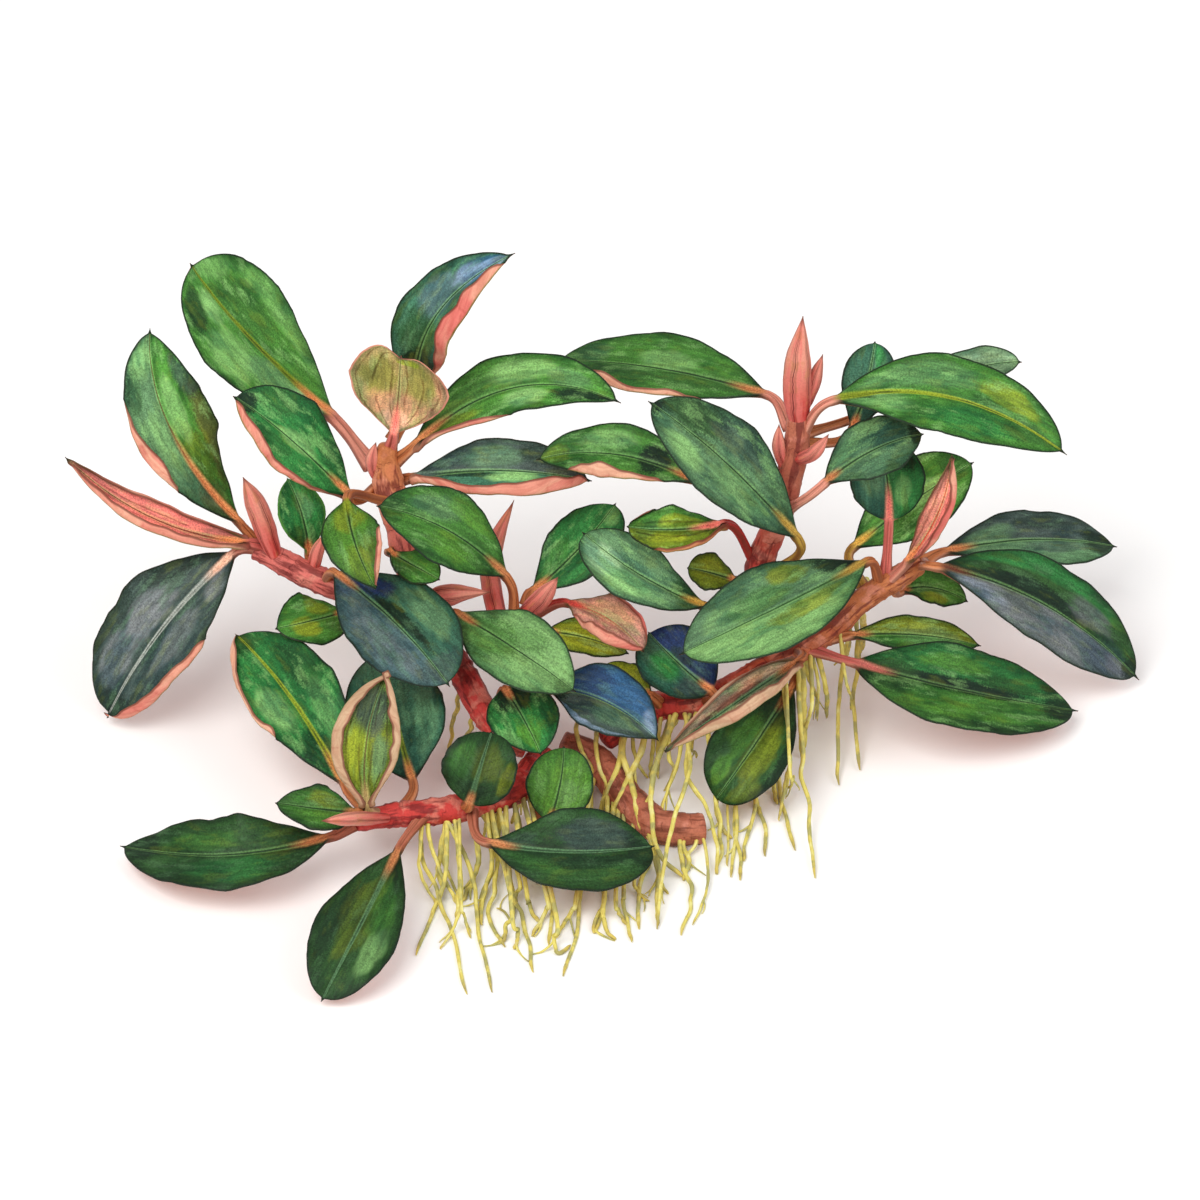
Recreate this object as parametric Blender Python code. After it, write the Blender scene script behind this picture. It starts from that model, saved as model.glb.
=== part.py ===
"""A bare-root bucephalandra: a creeping forked rhizome, seven stems, leaves and roots.

Places are typed as the pixel where a point shows in the 1200 x 1200 photograph and its height
above the floor in millimetres; seen() turns them into places in space. Sizes are millimetres.
"""
import math
from dataclasses import dataclass

import bmesh
import bpy
from mathutils import Matrix, Vector

MM = 0.001
PLANT_SPAN = 199.0
SPAN_IN_PIXELS = 1076.0
MM_PER_PIXEL = PLANT_SPAN / SPAN_IN_PIXELS
PICTURE_CENTRE = 600.0
VIEW_ELEVATION = math.radians(35.0)
VIEW_DISTANCE = 2200.0
VIEW_CENTRE_HEIGHT = 30.0
FOOTPRINT_CENTRE = (1.13, -18.42)

LEAF_THICKNESS = 1.0
PETIOLE_RADIUS = 0.9
STEM_GAP = 0.3
ROOT_RADIUS = 0.45
CURL_STARTS = 0.62
FLAPPED_SIDE = 0.86
ROLL_BEFORE = 0.5
ROLL_AFTER = 0.6
SECTION_STEPS = 24
SMALL_LEAF_AREA = 260.0
LONG_PETIOLE = 6.0

SLOPE_SIN = math.sin(VIEW_ELEVATION)
SLOPE_COS = math.cos(VIEW_ELEVATION)
TO_VIEWER = Vector((0.0, -SLOPE_COS, SLOPE_SIN))
UP = Vector((0.0, 0.0, 1.0))

MID_GREEN = (0.055, 0.165, 0.060)
BRIGHT_GREEN = (0.085, 0.235, 0.060)
EMERALD = (0.030, 0.150, 0.060)
DARK_GREEN = (0.022, 0.070, 0.030)
OLIVE = (0.130, 0.150, 0.022)
TEAL = (0.030, 0.095, 0.075)
BLUE_GREY = (0.045, 0.085, 0.120)
DARK_GREY = (0.050, 0.060, 0.075)
TAN = (0.330, 0.220, 0.110)
PINK = (0.560, 0.200, 0.150)
STEM_RED = (0.420, 0.075, 0.050)
STEM_ORANGE = (0.480, 0.150, 0.075)
RUST = (0.330, 0.100, 0.045)


def seen(px, py, height):
    """Return the point in mm that shows at a pixel and lies at this height above the floor."""
    across = (px - PICTURE_CENTRE) * MM_PER_PIXEL
    up = (PICTURE_CENTRE - py) * MM_PER_PIXEL
    rise = height - VIEW_CENTRE_HEIGHT
    near = (rise - up * SLOPE_COS) / (SLOPE_SIN - up * SLOPE_COS / VIEW_DISTANCE)
    shrink = 1.0 - near / VIEW_DISTANCE
    away = up * shrink * SLOPE_SIN - near * SLOPE_COS
    centre_x, centre_y = FOOTPRINT_CENTRE
    return Vector((across * shrink - centre_x, away - centre_y, height))


def ease(value, low, high):
    """Rise smoothly from 0 at low to 1 at high."""
    part = min(1.0, max(0.0, (value - low) / (high - low)))
    return part * part * (3.0 - 2.0 * part)


@dataclass
class Leaf:
    """One leaf: where it joins its stem, the two ends of its blade, and its form.

    A flap is a margin that is folded over the upper face: (place along the blade, width) pairs.
    """

    name: str
    stem: str
    join: tuple
    base: tuple
    middle: tuple
    tip: tuple
    width: float
    colour: tuple = MID_GREEN
    widest: float = 0.52
    base_full: float = 0.95
    tip_full: float = 0.60
    arch: float = 2.0
    fold: float = 8.0
    roll: float = 0.0
    twist: float = 0.0
    curl_left: float = 0.0
    curl_right: float = 0.0
    flap_left: tuple = ()
    flap_right: tuple = ()
    flap_turn: float = 140.0
    wave: float = 0.4
    waves: float = 2.5
    thick: float = LEAF_THICKNESS
    petiole: float = PETIOLE_RADIUS
    facing: float = 0.5


LEAVES = [
    # upper left shoot
    Leaf("upper_left_leaf_tall", "upper_left_shoot", (372, 466, 45), (331, 416, 50),
         (243, 331), (190, 263, 86), 22.0, MID_GREEN, widest=0.55, base_full=0.8,
         tip_full=0.45, petiole=1.2),
    Leaf("upper_left_leaf_emerald", "upper_left_shoot", (378, 488, 41), (350, 497, 44),
         (291, 440), (233, 396, 69), 17.0, EMERALD, wave=0.5,
         flap_left=((0.0, 0.5), (0.3, 0.8), (0.5, 1.5), (0.75, 2.0), (0.92, 1.4), (1.0, 0.0))),
    Leaf("upper_left_leaf_blue", "upper_left_shoot", (392, 440, 50), (416, 394, 58),
         (437, 315), (515, 253, 93), 15.0, BLUE_GREY, widest=0.45, tip_full=0.7,
         flap_right=((0.08, 0.5), (0.25, 1.4), (0.45, 2.8), (0.65, 3.3), (0.85, 2.3),
                     (0.98, 0.0))),
    Leaf("upper_left_leaf_heart", "upper_left_shoot", (389, 452, 48), (394, 434, 53),
         (399, 391), (401, 347, 76), 19.0, TAN, widest=0.6, tip_full=0.36, arch=-1.5,
         fold=4, wave=0.3),
    Leaf("upper_left_leaf_long", "upper_left_shoot", (395, 462, 46), (413, 447, 50),
         (514, 388), (621, 403, 62), 13.8, MID_GREEN, widest=0.5, arch=3.0,
         flap_right=((0.0, 0.5), (0.1, 0.9), (0.3, 1.1), (0.45, 0.5), (0.52, 0.0))),
    Leaf("upper_left_leaf_folded", "upper_left_shoot", (396, 482, 41), (412, 478, 43),
         (500, 471), (592, 481, 46), 13.4, TEAL, arch=2.0,
         flap_right=((0.0, 1.2), (0.15, 1.6), (0.35, 1.5), (0.55, 2.3), (0.78, 2.9),
                     (0.92, 2.0), (1.0, 0.0))),
    Leaf("upper_left_leaf_hanging", "upper_left_shoot", (384, 500, 41), (347, 501, 49),
         (355, 543), (376, 590, 41), 12.0, OLIVE, widest=0.42, tip_full=0.8, arch=2.0,
         facing=0.2, flap_left=((0.38, 0.0), (0.5, 1.2), (0.8, 1.5), (0.95, 0.7), (1.0, 0.0))),
    Leaf("upper_left_leaf_small", "upper_left_shoot", (403, 556, 31), (390, 552, 34),
         (414, 566), (440, 580, 36), 7.5, BRIGHT_GREEN, widest=0.6, tip_full=0.5, arch=1.0),
    # left stem
    Leaf("left_leaf_tall", "left_stem", (264, 551, 31), (240, 524, 37),
         (169, 426), (150, 328, 78), 17.0, MID_GREEN, widest=0.5, tip_full=0.6,
         wave=0.9, waves=3.0,
         flap_left=((0.25, 0.0), (0.32, 1.2), (0.42, 2.4), (0.52, 1.6), (0.60, 0.9),
                    (0.68, 0.7), (0.73, 0.0))),
    Leaf("left_leaf_grey", "left_stem", (264, 549, 31), (236, 552, 32),
         (163, 628), (107, 718, 1.6), 21.0, DARK_GREY, widest=0.52, tip_full=0.42,
         wave=0.9, waves=3.0, arch=3.0,
         flap_left=((0.36, 0.0), (0.45, 1.4), (0.62, 1.9), (0.75, 2.3), (0.9, 2.4),
                    (0.97, 1.5), (1.0, 0.0))),
    Leaf("left_leaf_rolled", "left_stem", (262, 546, 32), (247, 543, 34),
         (150, 517), (65, 457, 44), 7.4, PINK, widest=0.45, base_full=0.6, tip_full=0.9,
         fold=15, arch=1.0, thick=1.2, flap_turn=125,
         flap_left=((0.0, 0.6), (0.3, 1.6), (0.6, 1.7), (0.9, 0.8), (1.0, 0.0)),
         flap_right=((0.0, 0.6), (0.3, 1.2), (0.6, 1.3), (0.9, 0.6), (1.0, 0.0))),
    Leaf("left_leaf_teal", "left_stem", (316, 577, 28), (309, 552, 30),
         (302, 515), (287, 478, 44), 9.0, TEAL, widest=0.55),
    Leaf("left_leaf_blue_grey", "left_stem", (325, 582, 27), (334, 573, 31),
         (395, 623), (450, 687, 26), 19.8, BLUE_GREY, widest=0.58, tip_full=0.48, arch=2.5),
    Leaf("left_leaf_olive", "left_stem", (340, 590, 26), (346, 612, 22),
         (312, 621), (275, 629, 26), 12.0, OLIVE, widest=0.5, tip_full=0.6, arch=1.0),
    # centre shoot and the trunk below it
    Leaf("centre_leaf_bright", "centre_shoot", (515, 621, 24.0), (506, 577, 34.5),
         (447, 530), (376, 506, 50), 15.5, BRIGHT_GREEN, widest=0.52, arch=3.0),
    Leaf("centre_leaf_back", "centre_shoot", (526, 606, 25), (532, 592, 27),
         (579, 549), (616, 503, 36), 13.0, EMERALD, widest=0.55, tip_full=0.55, arch=1.0),
    Leaf("centre_leaf_curled", "centre_shoot", (531, 616, 23), (566, 603, 27),
         (609, 620), (644, 652, 25), 11.0, PINK, widest=0.55, tip_full=0.55, wave=0.6,
         flap_right=((0.12, 0.0), (0.25, 1.0), (0.5, 2.0), (0.75, 2.2), (0.95, 1.4), (1.0, 0.0)),
         flap_left=((0.28, 0.0), (0.45, 1.0), (0.8, 1.2), (0.95, 0.6), (1.0, 0.0))),
    Leaf("centre_leaf_yellow", "centre_shoot", (528, 618, 22), (545, 632, 21),
         (586, 638), (629, 654, 17), 7.8, OLIVE, widest=0.45, arch=1.0),
    Leaf("trunk_leaf_light", "left_stem", (450, 648, 19), (457, 614, 29),
         (515, 649), (576, 692, 25), 15.5, BRIGHT_GREEN, widest=0.52, arch=2.5),
    Leaf("trunk_leaf_dark", "left_stem", (496, 724, 12.5), (505, 690, 18),
         (524, 720), (541, 755, 16), 13.5, EMERALD, widest=0.5, tip_full=0.6,
         base_full=0.6, arch=1.0),
    Leaf("trunk_leaf_blue", "left_stem", (512, 738, 10.5), (549, 690, 19),
         (604, 701), (659, 741, 14), 14.2, BLUE_GREY, widest=0.5, tip_full=0.7, arch=2.0),
    # low left rhizome
    Leaf("low_left_leaf_emerald", "low_left_rhizome", (372, 817, 11.5), (345, 787, 13),
         (291, 698), (235, 634, 21), 18.5, EMERALD, widest=0.52, wave=0.8, waves=3.0,
         facing=0.3,
         flap_left=((0.30, 0.0), (0.37, 1.2), (0.45, 0.9), (0.6, 0.9), (0.75, 1.4),
                    (0.87, 2.3), (0.95, 1.6), (0.99, 0.0))),
    Leaf("low_left_leaf_teal", "low_left_rhizome", (400, 814, 10.8), (413, 782, 13),
         (396, 718), (385, 650, 18), 18.8, TEAL, widest=0.5, tip_full=0.5, facing=0.3),
    Leaf("low_left_leaf_cupped", "low_left_rhizome", (380, 816, 11.3), (367, 806, 15),
         (367, 738), (388, 672, 32), 14.8, TAN, widest=0.45, tip_full=0.8, fold=12,
         facing=0.3, flap_turn=125,
         flap_left=((0.0, 0.8), (0.1, 1.6), (0.4, 2.4), (0.7, 2.4), (0.95, 1.6), (1.0, 0.6)),
         flap_right=((0.0, 0.8), (0.1, 1.2), (0.4, 1.7), (0.7, 2.0), (0.95, 1.6), (1.0, 0.6))),
    Leaf("low_left_leaf_small", "low_left_rhizome", (366, 819, 11.7), (356, 813, 14.5),
         (318, 809), (275, 803, 18), 9.5, MID_GREEN, widest=0.45, arch=1.0),
    Leaf("low_left_leaf_broad", "low_left_rhizome", (354, 824, 11.8), (331, 837, 10),
         (224, 855), (120, 846, 2.2), 15.5, DARK_GREEN, widest=0.5, tip_full=0.6, wave=0.7,
         waves=3.0, arch=3.0),
    Leaf("low_left_leaf_hanging", "low_left_rhizome", (424, 814, 10.4), (399, 849, 10),
         (359, 928), (321, 1002, 1.6), 15.5, DARK_GREEN, widest=0.58, tip_full=0.5, arch=3.0,
         facing=0.3),
    Leaf("low_left_leaf_round_dark", "low_left_rhizome", (462, 806, 9.3), (470, 803, 13),
         (480, 769), (492, 731, 23), 14.2, DARK_GREEN, widest=0.5, tip_full=0.45,
         base_full=0.5, arch=1.0),
    Leaf("low_left_leaf_round_bright", "low_left_rhizome", (524, 782, 8.2), (550, 822, 7.0),
         (560, 785), (564, 746, 17), 12.6, BRIGHT_GREEN, widest=0.5, tip_full=0.45,
         base_full=0.5, arch=0.5),
    Leaf("low_left_leaf_wide", "low_left_rhizome", (470, 806, 9.2), (488, 843, 9.5),
         (572, 852), (655, 846, 8.0), 17.6, DARK_GREEN, widest=0.58, tip_full=0.5, arch=2.0),
    # upright shoot
    Leaf("upright_leaf_top", "upright_shoot", (790, 428, 58), (769, 396, 62),
         (661, 369), (555, 361, 54), 14.8, MID_GREEN, widest=0.5, arch=3.0,
         flap_left=((0.22, 0.0), (0.30, 0.6), (0.42, 1.3), (0.52, 0.9), (0.60, 1.2),
                    (0.70, 2.3), (0.80, 2.0), (0.92, 0.8), (0.98, 0.0))),
    Leaf("upright_leaf_diagonal", "upright_shoot", (760, 580, 28), (797, 538, 43),
         (727, 464), (648, 401, 71), 17.0, TEAL, widest=0.52, tip_full=0.55, arch=3.0),
    Leaf("upright_leaf_folded", "upright_shoot", (784, 492, 47), (700, 484, 53),
         (618, 455), (536, 460, 51), 12.6, MID_GREEN, widest=0.5,
         flap_left=((0.12, 0.0), (0.25, 0.9), (0.4, 1.5), (0.58, 3.0), (0.68, 2.2),
                    (0.76, 0.8), (0.82, 0.0))),
    Leaf("upright_leaf_large", "upright_shoot", (798, 440, 57), (832, 401, 66),
         (951, 398), (1067, 455, 60), 17.0, MID_GREEN, widest=0.52, tip_full=0.6, arch=3.0),
    Leaf("upright_leaf_teal", "upright_shoot", (797, 445, 56), (852, 430, 55),
         (867, 386), (875, 341, 68), 10.0, TEAL, widest=0.6, tip_full=0.5, arch=1.0),
    Leaf("upright_leaf_back", "upright_shoot", (798, 436, 57), (872, 410, 56),
         (955, 374), (1022, 362, 62), 8.5, TEAL, widest=0.6, tip_full=0.5, arch=1.0),
    Leaf("upright_leaf_short", "upright_shoot", (784, 512, 43), (824, 484, 54),
         (872, 451), (924, 434, 59), 12.5, TEAL, widest=0.55, tip_full=0.6, arch=1.0),
    Leaf("upright_leaf_pale", "upright_shoot", (752, 620, 22), (706, 607, 27),
         (640, 575), (582, 532, 40), 13.0, TEAL, widest=0.6, tip_full=0.48, arch=2.0),
    Leaf("upright_leaf_rimmed", "upright_shoot", (757, 566, 30), (723, 524, 42),
         (673, 530), (627, 527, 43), 11.4, OLIVE, widest=0.5, tip_full=0.6,
         flap_left=((0.0, 0.6), (0.3, 1.0), (0.6, 0.8), (0.72, 0.0)),
         flap_right=((0.68, 0.0), (0.8, 0.8), (0.95, 0.8), (1.0, 0.2))),
    Leaf("upright_leaf_olive", "upright_shoot", (755, 582, 27.5), (737, 581, 31),
         (710, 573), (687, 568, 34), 8.0, OLIVE, widest=0.55, tip_full=0.5, arch=0.5),
    # right stem
    Leaf("right_leaf_heart", "right_stem", (885, 582, 26.5), (889, 520, 40),
         (887, 478), (879, 438, 53), 14.2, DARK_GREEN, widest=0.48, base_full=0.55,
         tip_full=0.55, arch=1.0),
    Leaf("right_leaf_back", "right_stem", (866, 594, 25), (853, 548, 30),
         (914, 501), (974, 462, 44), 15.5, EMERALD, widest=0.55, tip_full=0.55, arch=1.0),
    Leaf("right_leaf_rolled", "right_stem", (880, 588, 26), (908, 562, 32),
         (939, 512), (952, 455, 57), 6.2, PINK, widest=0.5, base_full=0.5, tip_full=0.9,
         curl_left=60, fold=15, arch=1.0, thick=1.2, flap_turn=125,
         flap_right=((0.1, 0.4), (0.45, 1.5), (0.8, 1.6), (0.95, 0.7), (1.0, 0.0))),
    Leaf("right_leaf_grey_green", "right_stem", (922, 563, 28.5), (941, 553, 28),
         (1031, 540), (1117, 547, 14), 12.8, TEAL, widest=0.55, tip_full=0.6, arch=2.0),
    Leaf("right_leaf_grey", "right_stem", (922, 564, 28.5), (936, 567, 33),
         (1044, 605), (1139, 680, 2.0), 18.2, DARK_GREY, widest=0.52, tip_full=0.55, arch=3.0),
    Leaf("right_leaf_small", "right_stem", (893, 582, 26.8), (900, 592, 22),
         (932, 588), (968, 602, 17), 8.0, MID_GREEN, widest=0.5, arch=1.0),
    Leaf("right_leaf_olive", "right_stem", (822, 640, 19.5), (848, 636, 20),
         (915, 635), (981, 646, 13), 8.0, OLIVE, widest=0.55, tip_full=0.6, arch=1.0),
    Leaf("right_leaf_low", "right_stem", (806, 648, 18.5), (854, 663, 18),
         (965, 691), (1078, 711, 3.0), 17.8, MID_GREEN, widest=0.5, base_full=0.75, tip_full=0.55,
         arch=3.0),
    Leaf("right_leaf_dark", "right_stem", (792, 656, 17), (793, 686, 14),
         (752, 749), (715, 801, 4.0), 15.0, DARK_GREEN, widest=0.58, tip_full=0.5,
         facing=0.4, arch=3.0),
    Leaf("right_leaf_tan", "right_stem", (800, 652, 18), (797, 662, 22),
         (735, 704), (665, 752, 18), 8.4, TAN, widest=0.42, base_full=0.7, tip_full=0.9,
         fold=15, arch=1.0, thick=1.2, flap_turn=115,
         flap_left=((0.0, 0.6), (0.15, 1.5), (0.5, 2.5), (0.75, 1.9), (0.9, 1.1), (1.0, 0.3)),
         flap_right=((0.0, 0.5), (0.2, 1.1), (0.5, 1.7), (0.8, 1.4), (1.0, 0.3))),
    Leaf("right_leaf_light", "right_stem", (880, 584, 26.5), (867, 562, 34),
         (775, 609), (679, 655, 29), 18.0, BRIGHT_GREEN, widest=0.52, tip_full=0.55, arch=3.0),
    Leaf("right_leaf_navy", "right_stem", (700, 703, 12), (712, 692, 17),
         (677, 662), (648, 632, 23), 15.5, DARK_GREY, widest=0.5, base_full=0.6,
         tip_full=0.5, fold=12, arch=0.5),
    Leaf("right_leaf_yellow", "right_stem", (662, 707, 10.5), (652, 696, 15),
         (628, 680), (604, 664, 17), 7.0, OLIVE, widest=0.5, arch=0.5),
]


@dataclass
class Stem:
    """One stem: its path as (pixel x, pixel y, height, radius), spikes and roots."""

    name: str
    path: list
    colour: tuple
    knob: float = 0.06
    spikes: tuple = ()
    roots: tuple = ()
    torn: bool = False


STEMS = [
    Stem("old_rhizome",
         [(703, 828, 2.3, 2.7), (682, 829, 2.6, 3.1), (655, 824, 2.7, 3.2), (628, 800, 2.9, 3.2),
          (607, 772, 3.8, 3.1), (584, 753, 5.4, 2.9), (560, 744, 7.0, 2.6)],
         RUST, knob=0.08, torn=True,
         roots=(((600, 765, 4), (585, 830, 2), (580, 915, 0.4), (563, 976, 0.4)),
                ((618, 790, 4), (600, 850, 2), (604, 896, 0.4), (594, 933, 0.4)),
                ((636, 808, 3), (652, 852, 1), (640, 890, 0.4), (639, 929, 0.4)),
                ((680, 828, 3), (683, 868, 1), (692, 900, 0.4), (681, 935, 0.4)))),
    Stem("low_left_rhizome",
         [(545, 756, 7.2, 2.4), (530, 772, 7.8, 2.6), (512, 792, 8.4, 2.6), (470, 806, 9.2, 2.5),
          (430, 812, 10.2, 2.5), (395, 815, 11.0, 2.3), (352, 822, 11.8, 1.8)],
         STEM_RED,
         spikes=(((386, 818, 12.0), (352, 819, 20.0), (321, 821, 23.5), 1.3),),
         roots=(((424, 814, 10), (421, 850, 5), (445, 915, 1), (467, 994, 0.4)),
                ((440, 812, 10), (468, 862, 5), (476, 915, 1), (492, 992, 0.4)),
                ((452, 809, 9), (440, 850, 5), (439, 894, 1), (416, 955, 0.4)),
                ((486, 802, 9), (510, 880, 3), (524, 925, 0.5), (533, 972, 0.4)),
                ((478, 804, 9), (493, 850, 4), (480, 900, 0.5), (482, 925, 0.4)),
                ((500, 797, 9), (497, 870, 3), (489, 915, 0.5), (505, 947, 0.4)),
                ((510, 793, 8), (526, 850, 2.5), (552, 905, 0.5), (549, 945, 0.4)))),
    Stem("left_stem",
         [(527, 746, 9.6, 2.4), (508, 738, 11.0, 2.5), (486, 715, 14.0, 2.6),
          (464, 676, 18.0, 2.6), (440, 643, 20.5, 2.5), (390, 610, 23.5, 2.4),
          (322, 581, 27.0, 2.5), (285, 563, 29.5, 2.4), (254, 547, 31.5, 1.9)],
         STEM_RED,
         spikes=(((275, 556, 31.0), (258, 510, 40.0), (243, 477, 46.0), 2.1),
                 ((312, 575, 28.0), (317, 553, 32.0), (324, 534, 36.0), 1.3),
                 ((424, 632, 21.5), (440, 598, 28.0), (491, 592, 32.0), 2.2)),
         roots=(((462, 674, 18), (458, 700, 12), (452, 725, 4), (449, 752, 0.4)),
                ((480, 706, 15), (472, 722, 10), (466, 745, 3), (464, 768, 0.4)),
                ((400, 614, 23), (396, 606, 16), (388, 600, 5), (380, 602, 0.4)),
                ((345, 590, 26), (342, 600, 17), (335, 612, 5), (338, 622, 0.4)))),
    Stem("centre_shoot",
         [(493, 670, 21.0, 1.8), (499, 653, 21.6, 2.1), (510, 632, 23.0, 2.2),
          (523, 611, 25.0, 2.0)],
         STEM_RED,
         spikes=(((525, 612, 25.0), (542, 598, 30.0), (558, 577, 35.0), 1.8),
                 ((504, 642, 22.3), (490, 566, 29.0), (514, 500, 42.0), 1.9)),
         roots=(((508, 634, 22), (520, 624, 16), (530, 618, 5), (540, 622, 0.4)),)),
    Stem("upper_left_shoot",
         [(412, 594, 27.8, 2.1), (406, 565, 31.0, 2.2), (397, 520, 37.0, 2.6),
          (389, 488, 42.0, 3.0), (386, 462, 46.5, 2.4), (389, 443, 50.0, 1.7)],
         STEM_ORANGE, knob=0.04,
         spikes=(((382, 484, 42.0), (372, 462, 47.0), (376, 442, 51.0), 1.3),)),
    Stem("upright_shoot",
         [(742, 657, 18.5, 2.1), (748, 630, 21.5, 2.3), (756, 590, 27.0, 2.6),
          (760, 563, 31.0, 2.6), (776, 522, 40.0, 2.5), (789, 480, 49.0, 2.6),
          (797, 440, 57.0, 2.4), (799, 410, 63.0, 2.2)],
         STEM_RED, knob=0.04,
         spikes=(((799, 425, 60.0), (797, 375, 71.0), (803, 316, 84.0), 2.6),
                 ((800, 413, 62.0), (812, 385, 67.5), (823, 354, 75.0), 1.5),
                 ((796, 460, 53.5), (814, 453, 58.0), (829, 434, 62.5), 1.3),
                 ((787, 470, 51.0), (779, 448, 56.0), (779, 424, 61.0), 1.3))),
    Stem("right_stem",
         [(604, 742, 7.0, 1.9), (630, 722, 9.0, 2.4), (660, 706, 10.8, 2.8),
          (700, 703, 12.2, 2.6), (742, 682, 14.2, 2.4), (790, 655, 17.3, 2.4),
          (830, 630, 20.8, 2.3), (860, 602, 24.3, 2.3), (892, 581, 26.8, 2.3),
          (922, 563, 28.5, 1.7)],
         STEM_ORANGE,
         roots=(((684, 705, 11), (690, 770, 10), (668, 842, 6), (657, 929, 0.4)),
                ((702, 704, 12), (714, 780, 6), (720, 840, 1.0), (716, 874, 0.4)),
                ((722, 694, 13), (728, 740, 3), (738, 830, 0.5), (740, 880, 0.4)),
                ((742, 684, 14), (752, 770, 1), (762, 815, 0.4), (765, 856, 0.4)),
                ((762, 672, 15), (776, 740, 2), (782, 800, 0.5), (795, 850, 0.4)),
                ((800, 650, 18), (801, 740, 10), (808, 810, 3), (815, 878, 0.4)),
                ((836, 626, 20), (842, 655, 13), (838, 720, 5), (839, 785, 0.4)),
                ((852, 610, 23), (857, 640, 16), (853, 705, 6), (860, 770, 0.4)),
                ((870, 596, 25), (872, 586, 17), (868, 580, 5), (862, 578, 0.4)))),
]


def leaf_length(leaf):
    """Distance from the base to the tip of the blade, straight."""
    return (seen(*leaf.tip) - seen(*leaf.base)).length


def half_width(leaf, along):
    """Half the blade's width at a place along it, 0 at the base and 1 at the tip."""
    if along < leaf.widest:
        part, power = along / leaf.widest, leaf.base_full
    else:
        part, power = (1.0 - along) / (1.0 - leaf.widest), leaf.tip_full
    return 0.5 * leaf.width * max(0.0, math.sin(0.5 * math.pi * max(0.0, part))) ** power


def midrib_point(leaf, along):
    """A point of the midrib, a curve from the base over its middle to the tip."""
    base, tip = seen(*leaf.base), seen(*leaf.tip)
    middle = seen(*leaf.middle, 0.5 * (base.z + tip.z) + leaf.arch)
    pull = middle * 2.0 - (base + tip) * 0.5
    back = 1.0 - along
    return base * back ** 2 + pull * (2.0 * along * back) + tip * along ** 2


def blade_frame(leaf, along):
    """The midrib's point, direction, side and upper-face normal at a place along the blade."""
    step = 0.01
    before = midrib_point(leaf, max(0.0, along - step))
    after = midrib_point(leaf, min(1.0, along + step))
    axis = (after - before).normalized()
    facing = TO_VIEWER.lerp(UP, leaf.facing)
    normal = (facing - axis * facing.dot(axis)).normalized()
    turn = math.radians(leaf.roll + leaf.twist * along)
    normal = Matrix.Rotation(turn, 3, axis) @ normal
    return midrib_point(leaf, along), axis, axis.cross(normal), normal


def flap_width(keys, along):
    """Width of a margin's flap at a place along the blade."""
    for (start, first), (end, second) in zip(keys, keys[1:]):
        if start <= along <= end:
            return first + (second - first) * ease(along, start, end)
    return 0.0


def cross_section(leaf, along, across, lift):
    """Offset from the midrib, sideways and up, of a place across the blade (-1 to 1).

    Where the margin has a flap, 1 is the flap's edge and the place before it the crease.
    """
    curl, keys = leaf.curl_left, leaf.flap_left
    if across > 0.0:
        curl, keys = leaf.curl_right, leaf.flap_right
    half = half_width(leaf, along) * (FLAPPED_SIDE if keys else 1.0)
    flap = flap_width(keys, along)
    creased = ease(flap, 0.1, 0.8)
    share = abs(across)
    reach = half + flap if share == 1.0 else half * share
    if 0.0 < share < 1.0:
        reach += half * (1.0 - share) * creased
    fade = math.sin(math.pi * min(1.0, max(0.0, along))) ** 0.5
    sideways = up = 0.0
    turn = math.radians(leaf.fold)
    step = reach / SECTION_STEPS
    for index in range(SECTION_STEPS):
        place = step * (index + 0.5)
        turn = math.radians(
            leaf.fold + curl * fade * ease(place / half, CURL_STARTS, 1.0)
            + leaf.flap_turn * creased * ease(place, half - ROLL_BEFORE, half + ROLL_AFTER))
        sideways += math.cos(turn) * step
        up += math.sin(turn) * step
    phase = 0.0 if across > 0.0 else 1.9
    ripple = leaf.wave * math.sin(2.0 * math.pi * leaf.waves * along + phase)
    up += ripple * min(1.0, reach / half) ** 2 * math.sin(math.pi * along)
    sideways -= math.sin(turn) * lift
    up += math.cos(turn) * lift
    return math.copysign(sideways, across) if across else sideways, up


def blade_ring(leaf, along):
    """Eight points around the blade: right edge, over the top, left edge, under the leaf."""
    centre, _, side, normal = blade_frame(leaf, along)
    blend = ease(along, 0.0, 0.35)
    thick = leaf.petiole * 1.6 * (1.0 - blend) + leaf.thick * blend
    thick *= 1.0 - 0.45 * ease(along, 0.7, 1.0)
    ring = []
    for across, share in ((1, 0), (0.66, 0.8), (0, 1), (-0.66, 0.8),
                          (-1, 0), (-0.66, -0.8), (0, -1), (0.66, -0.8)):
        sideways, up = cross_section(leaf, along, across, 0.5 * thick * share)
        ring.append(centre + side * sideways + normal * up)
    return ring


def round_ring(centre, side, normal, radius, count=8, offset=0.0):
    """A ring of points around a centre, starting at the side and going over the top."""
    turns = [2.0 * math.pi * (index + offset) / count for index in range(count)]
    return [centre + side * (radius * math.cos(turn)) + normal * (radius * math.sin(turn))
            for turn in turns]


def curve_point(points, share):
    """A point of the Catmull-Rom curve through the points, share from 0 to 1."""
    place = share * (len(points) - 1)
    index = min(int(place), len(points) - 2)
    part = place - index
    ends = [points[max(0, index - 1)], points[index], points[index + 1],
            points[min(len(points) - 1, index + 2)]]
    first, second, third, fourth = ends
    return 0.5 * (2.0 * second + (third - first) * part
                  + (2.0 * first - 5.0 * second + 4.0 * third - fourth) * part ** 2
                  + (3.0 * second - first - 3.0 * third + fourth) * part ** 3)


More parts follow.
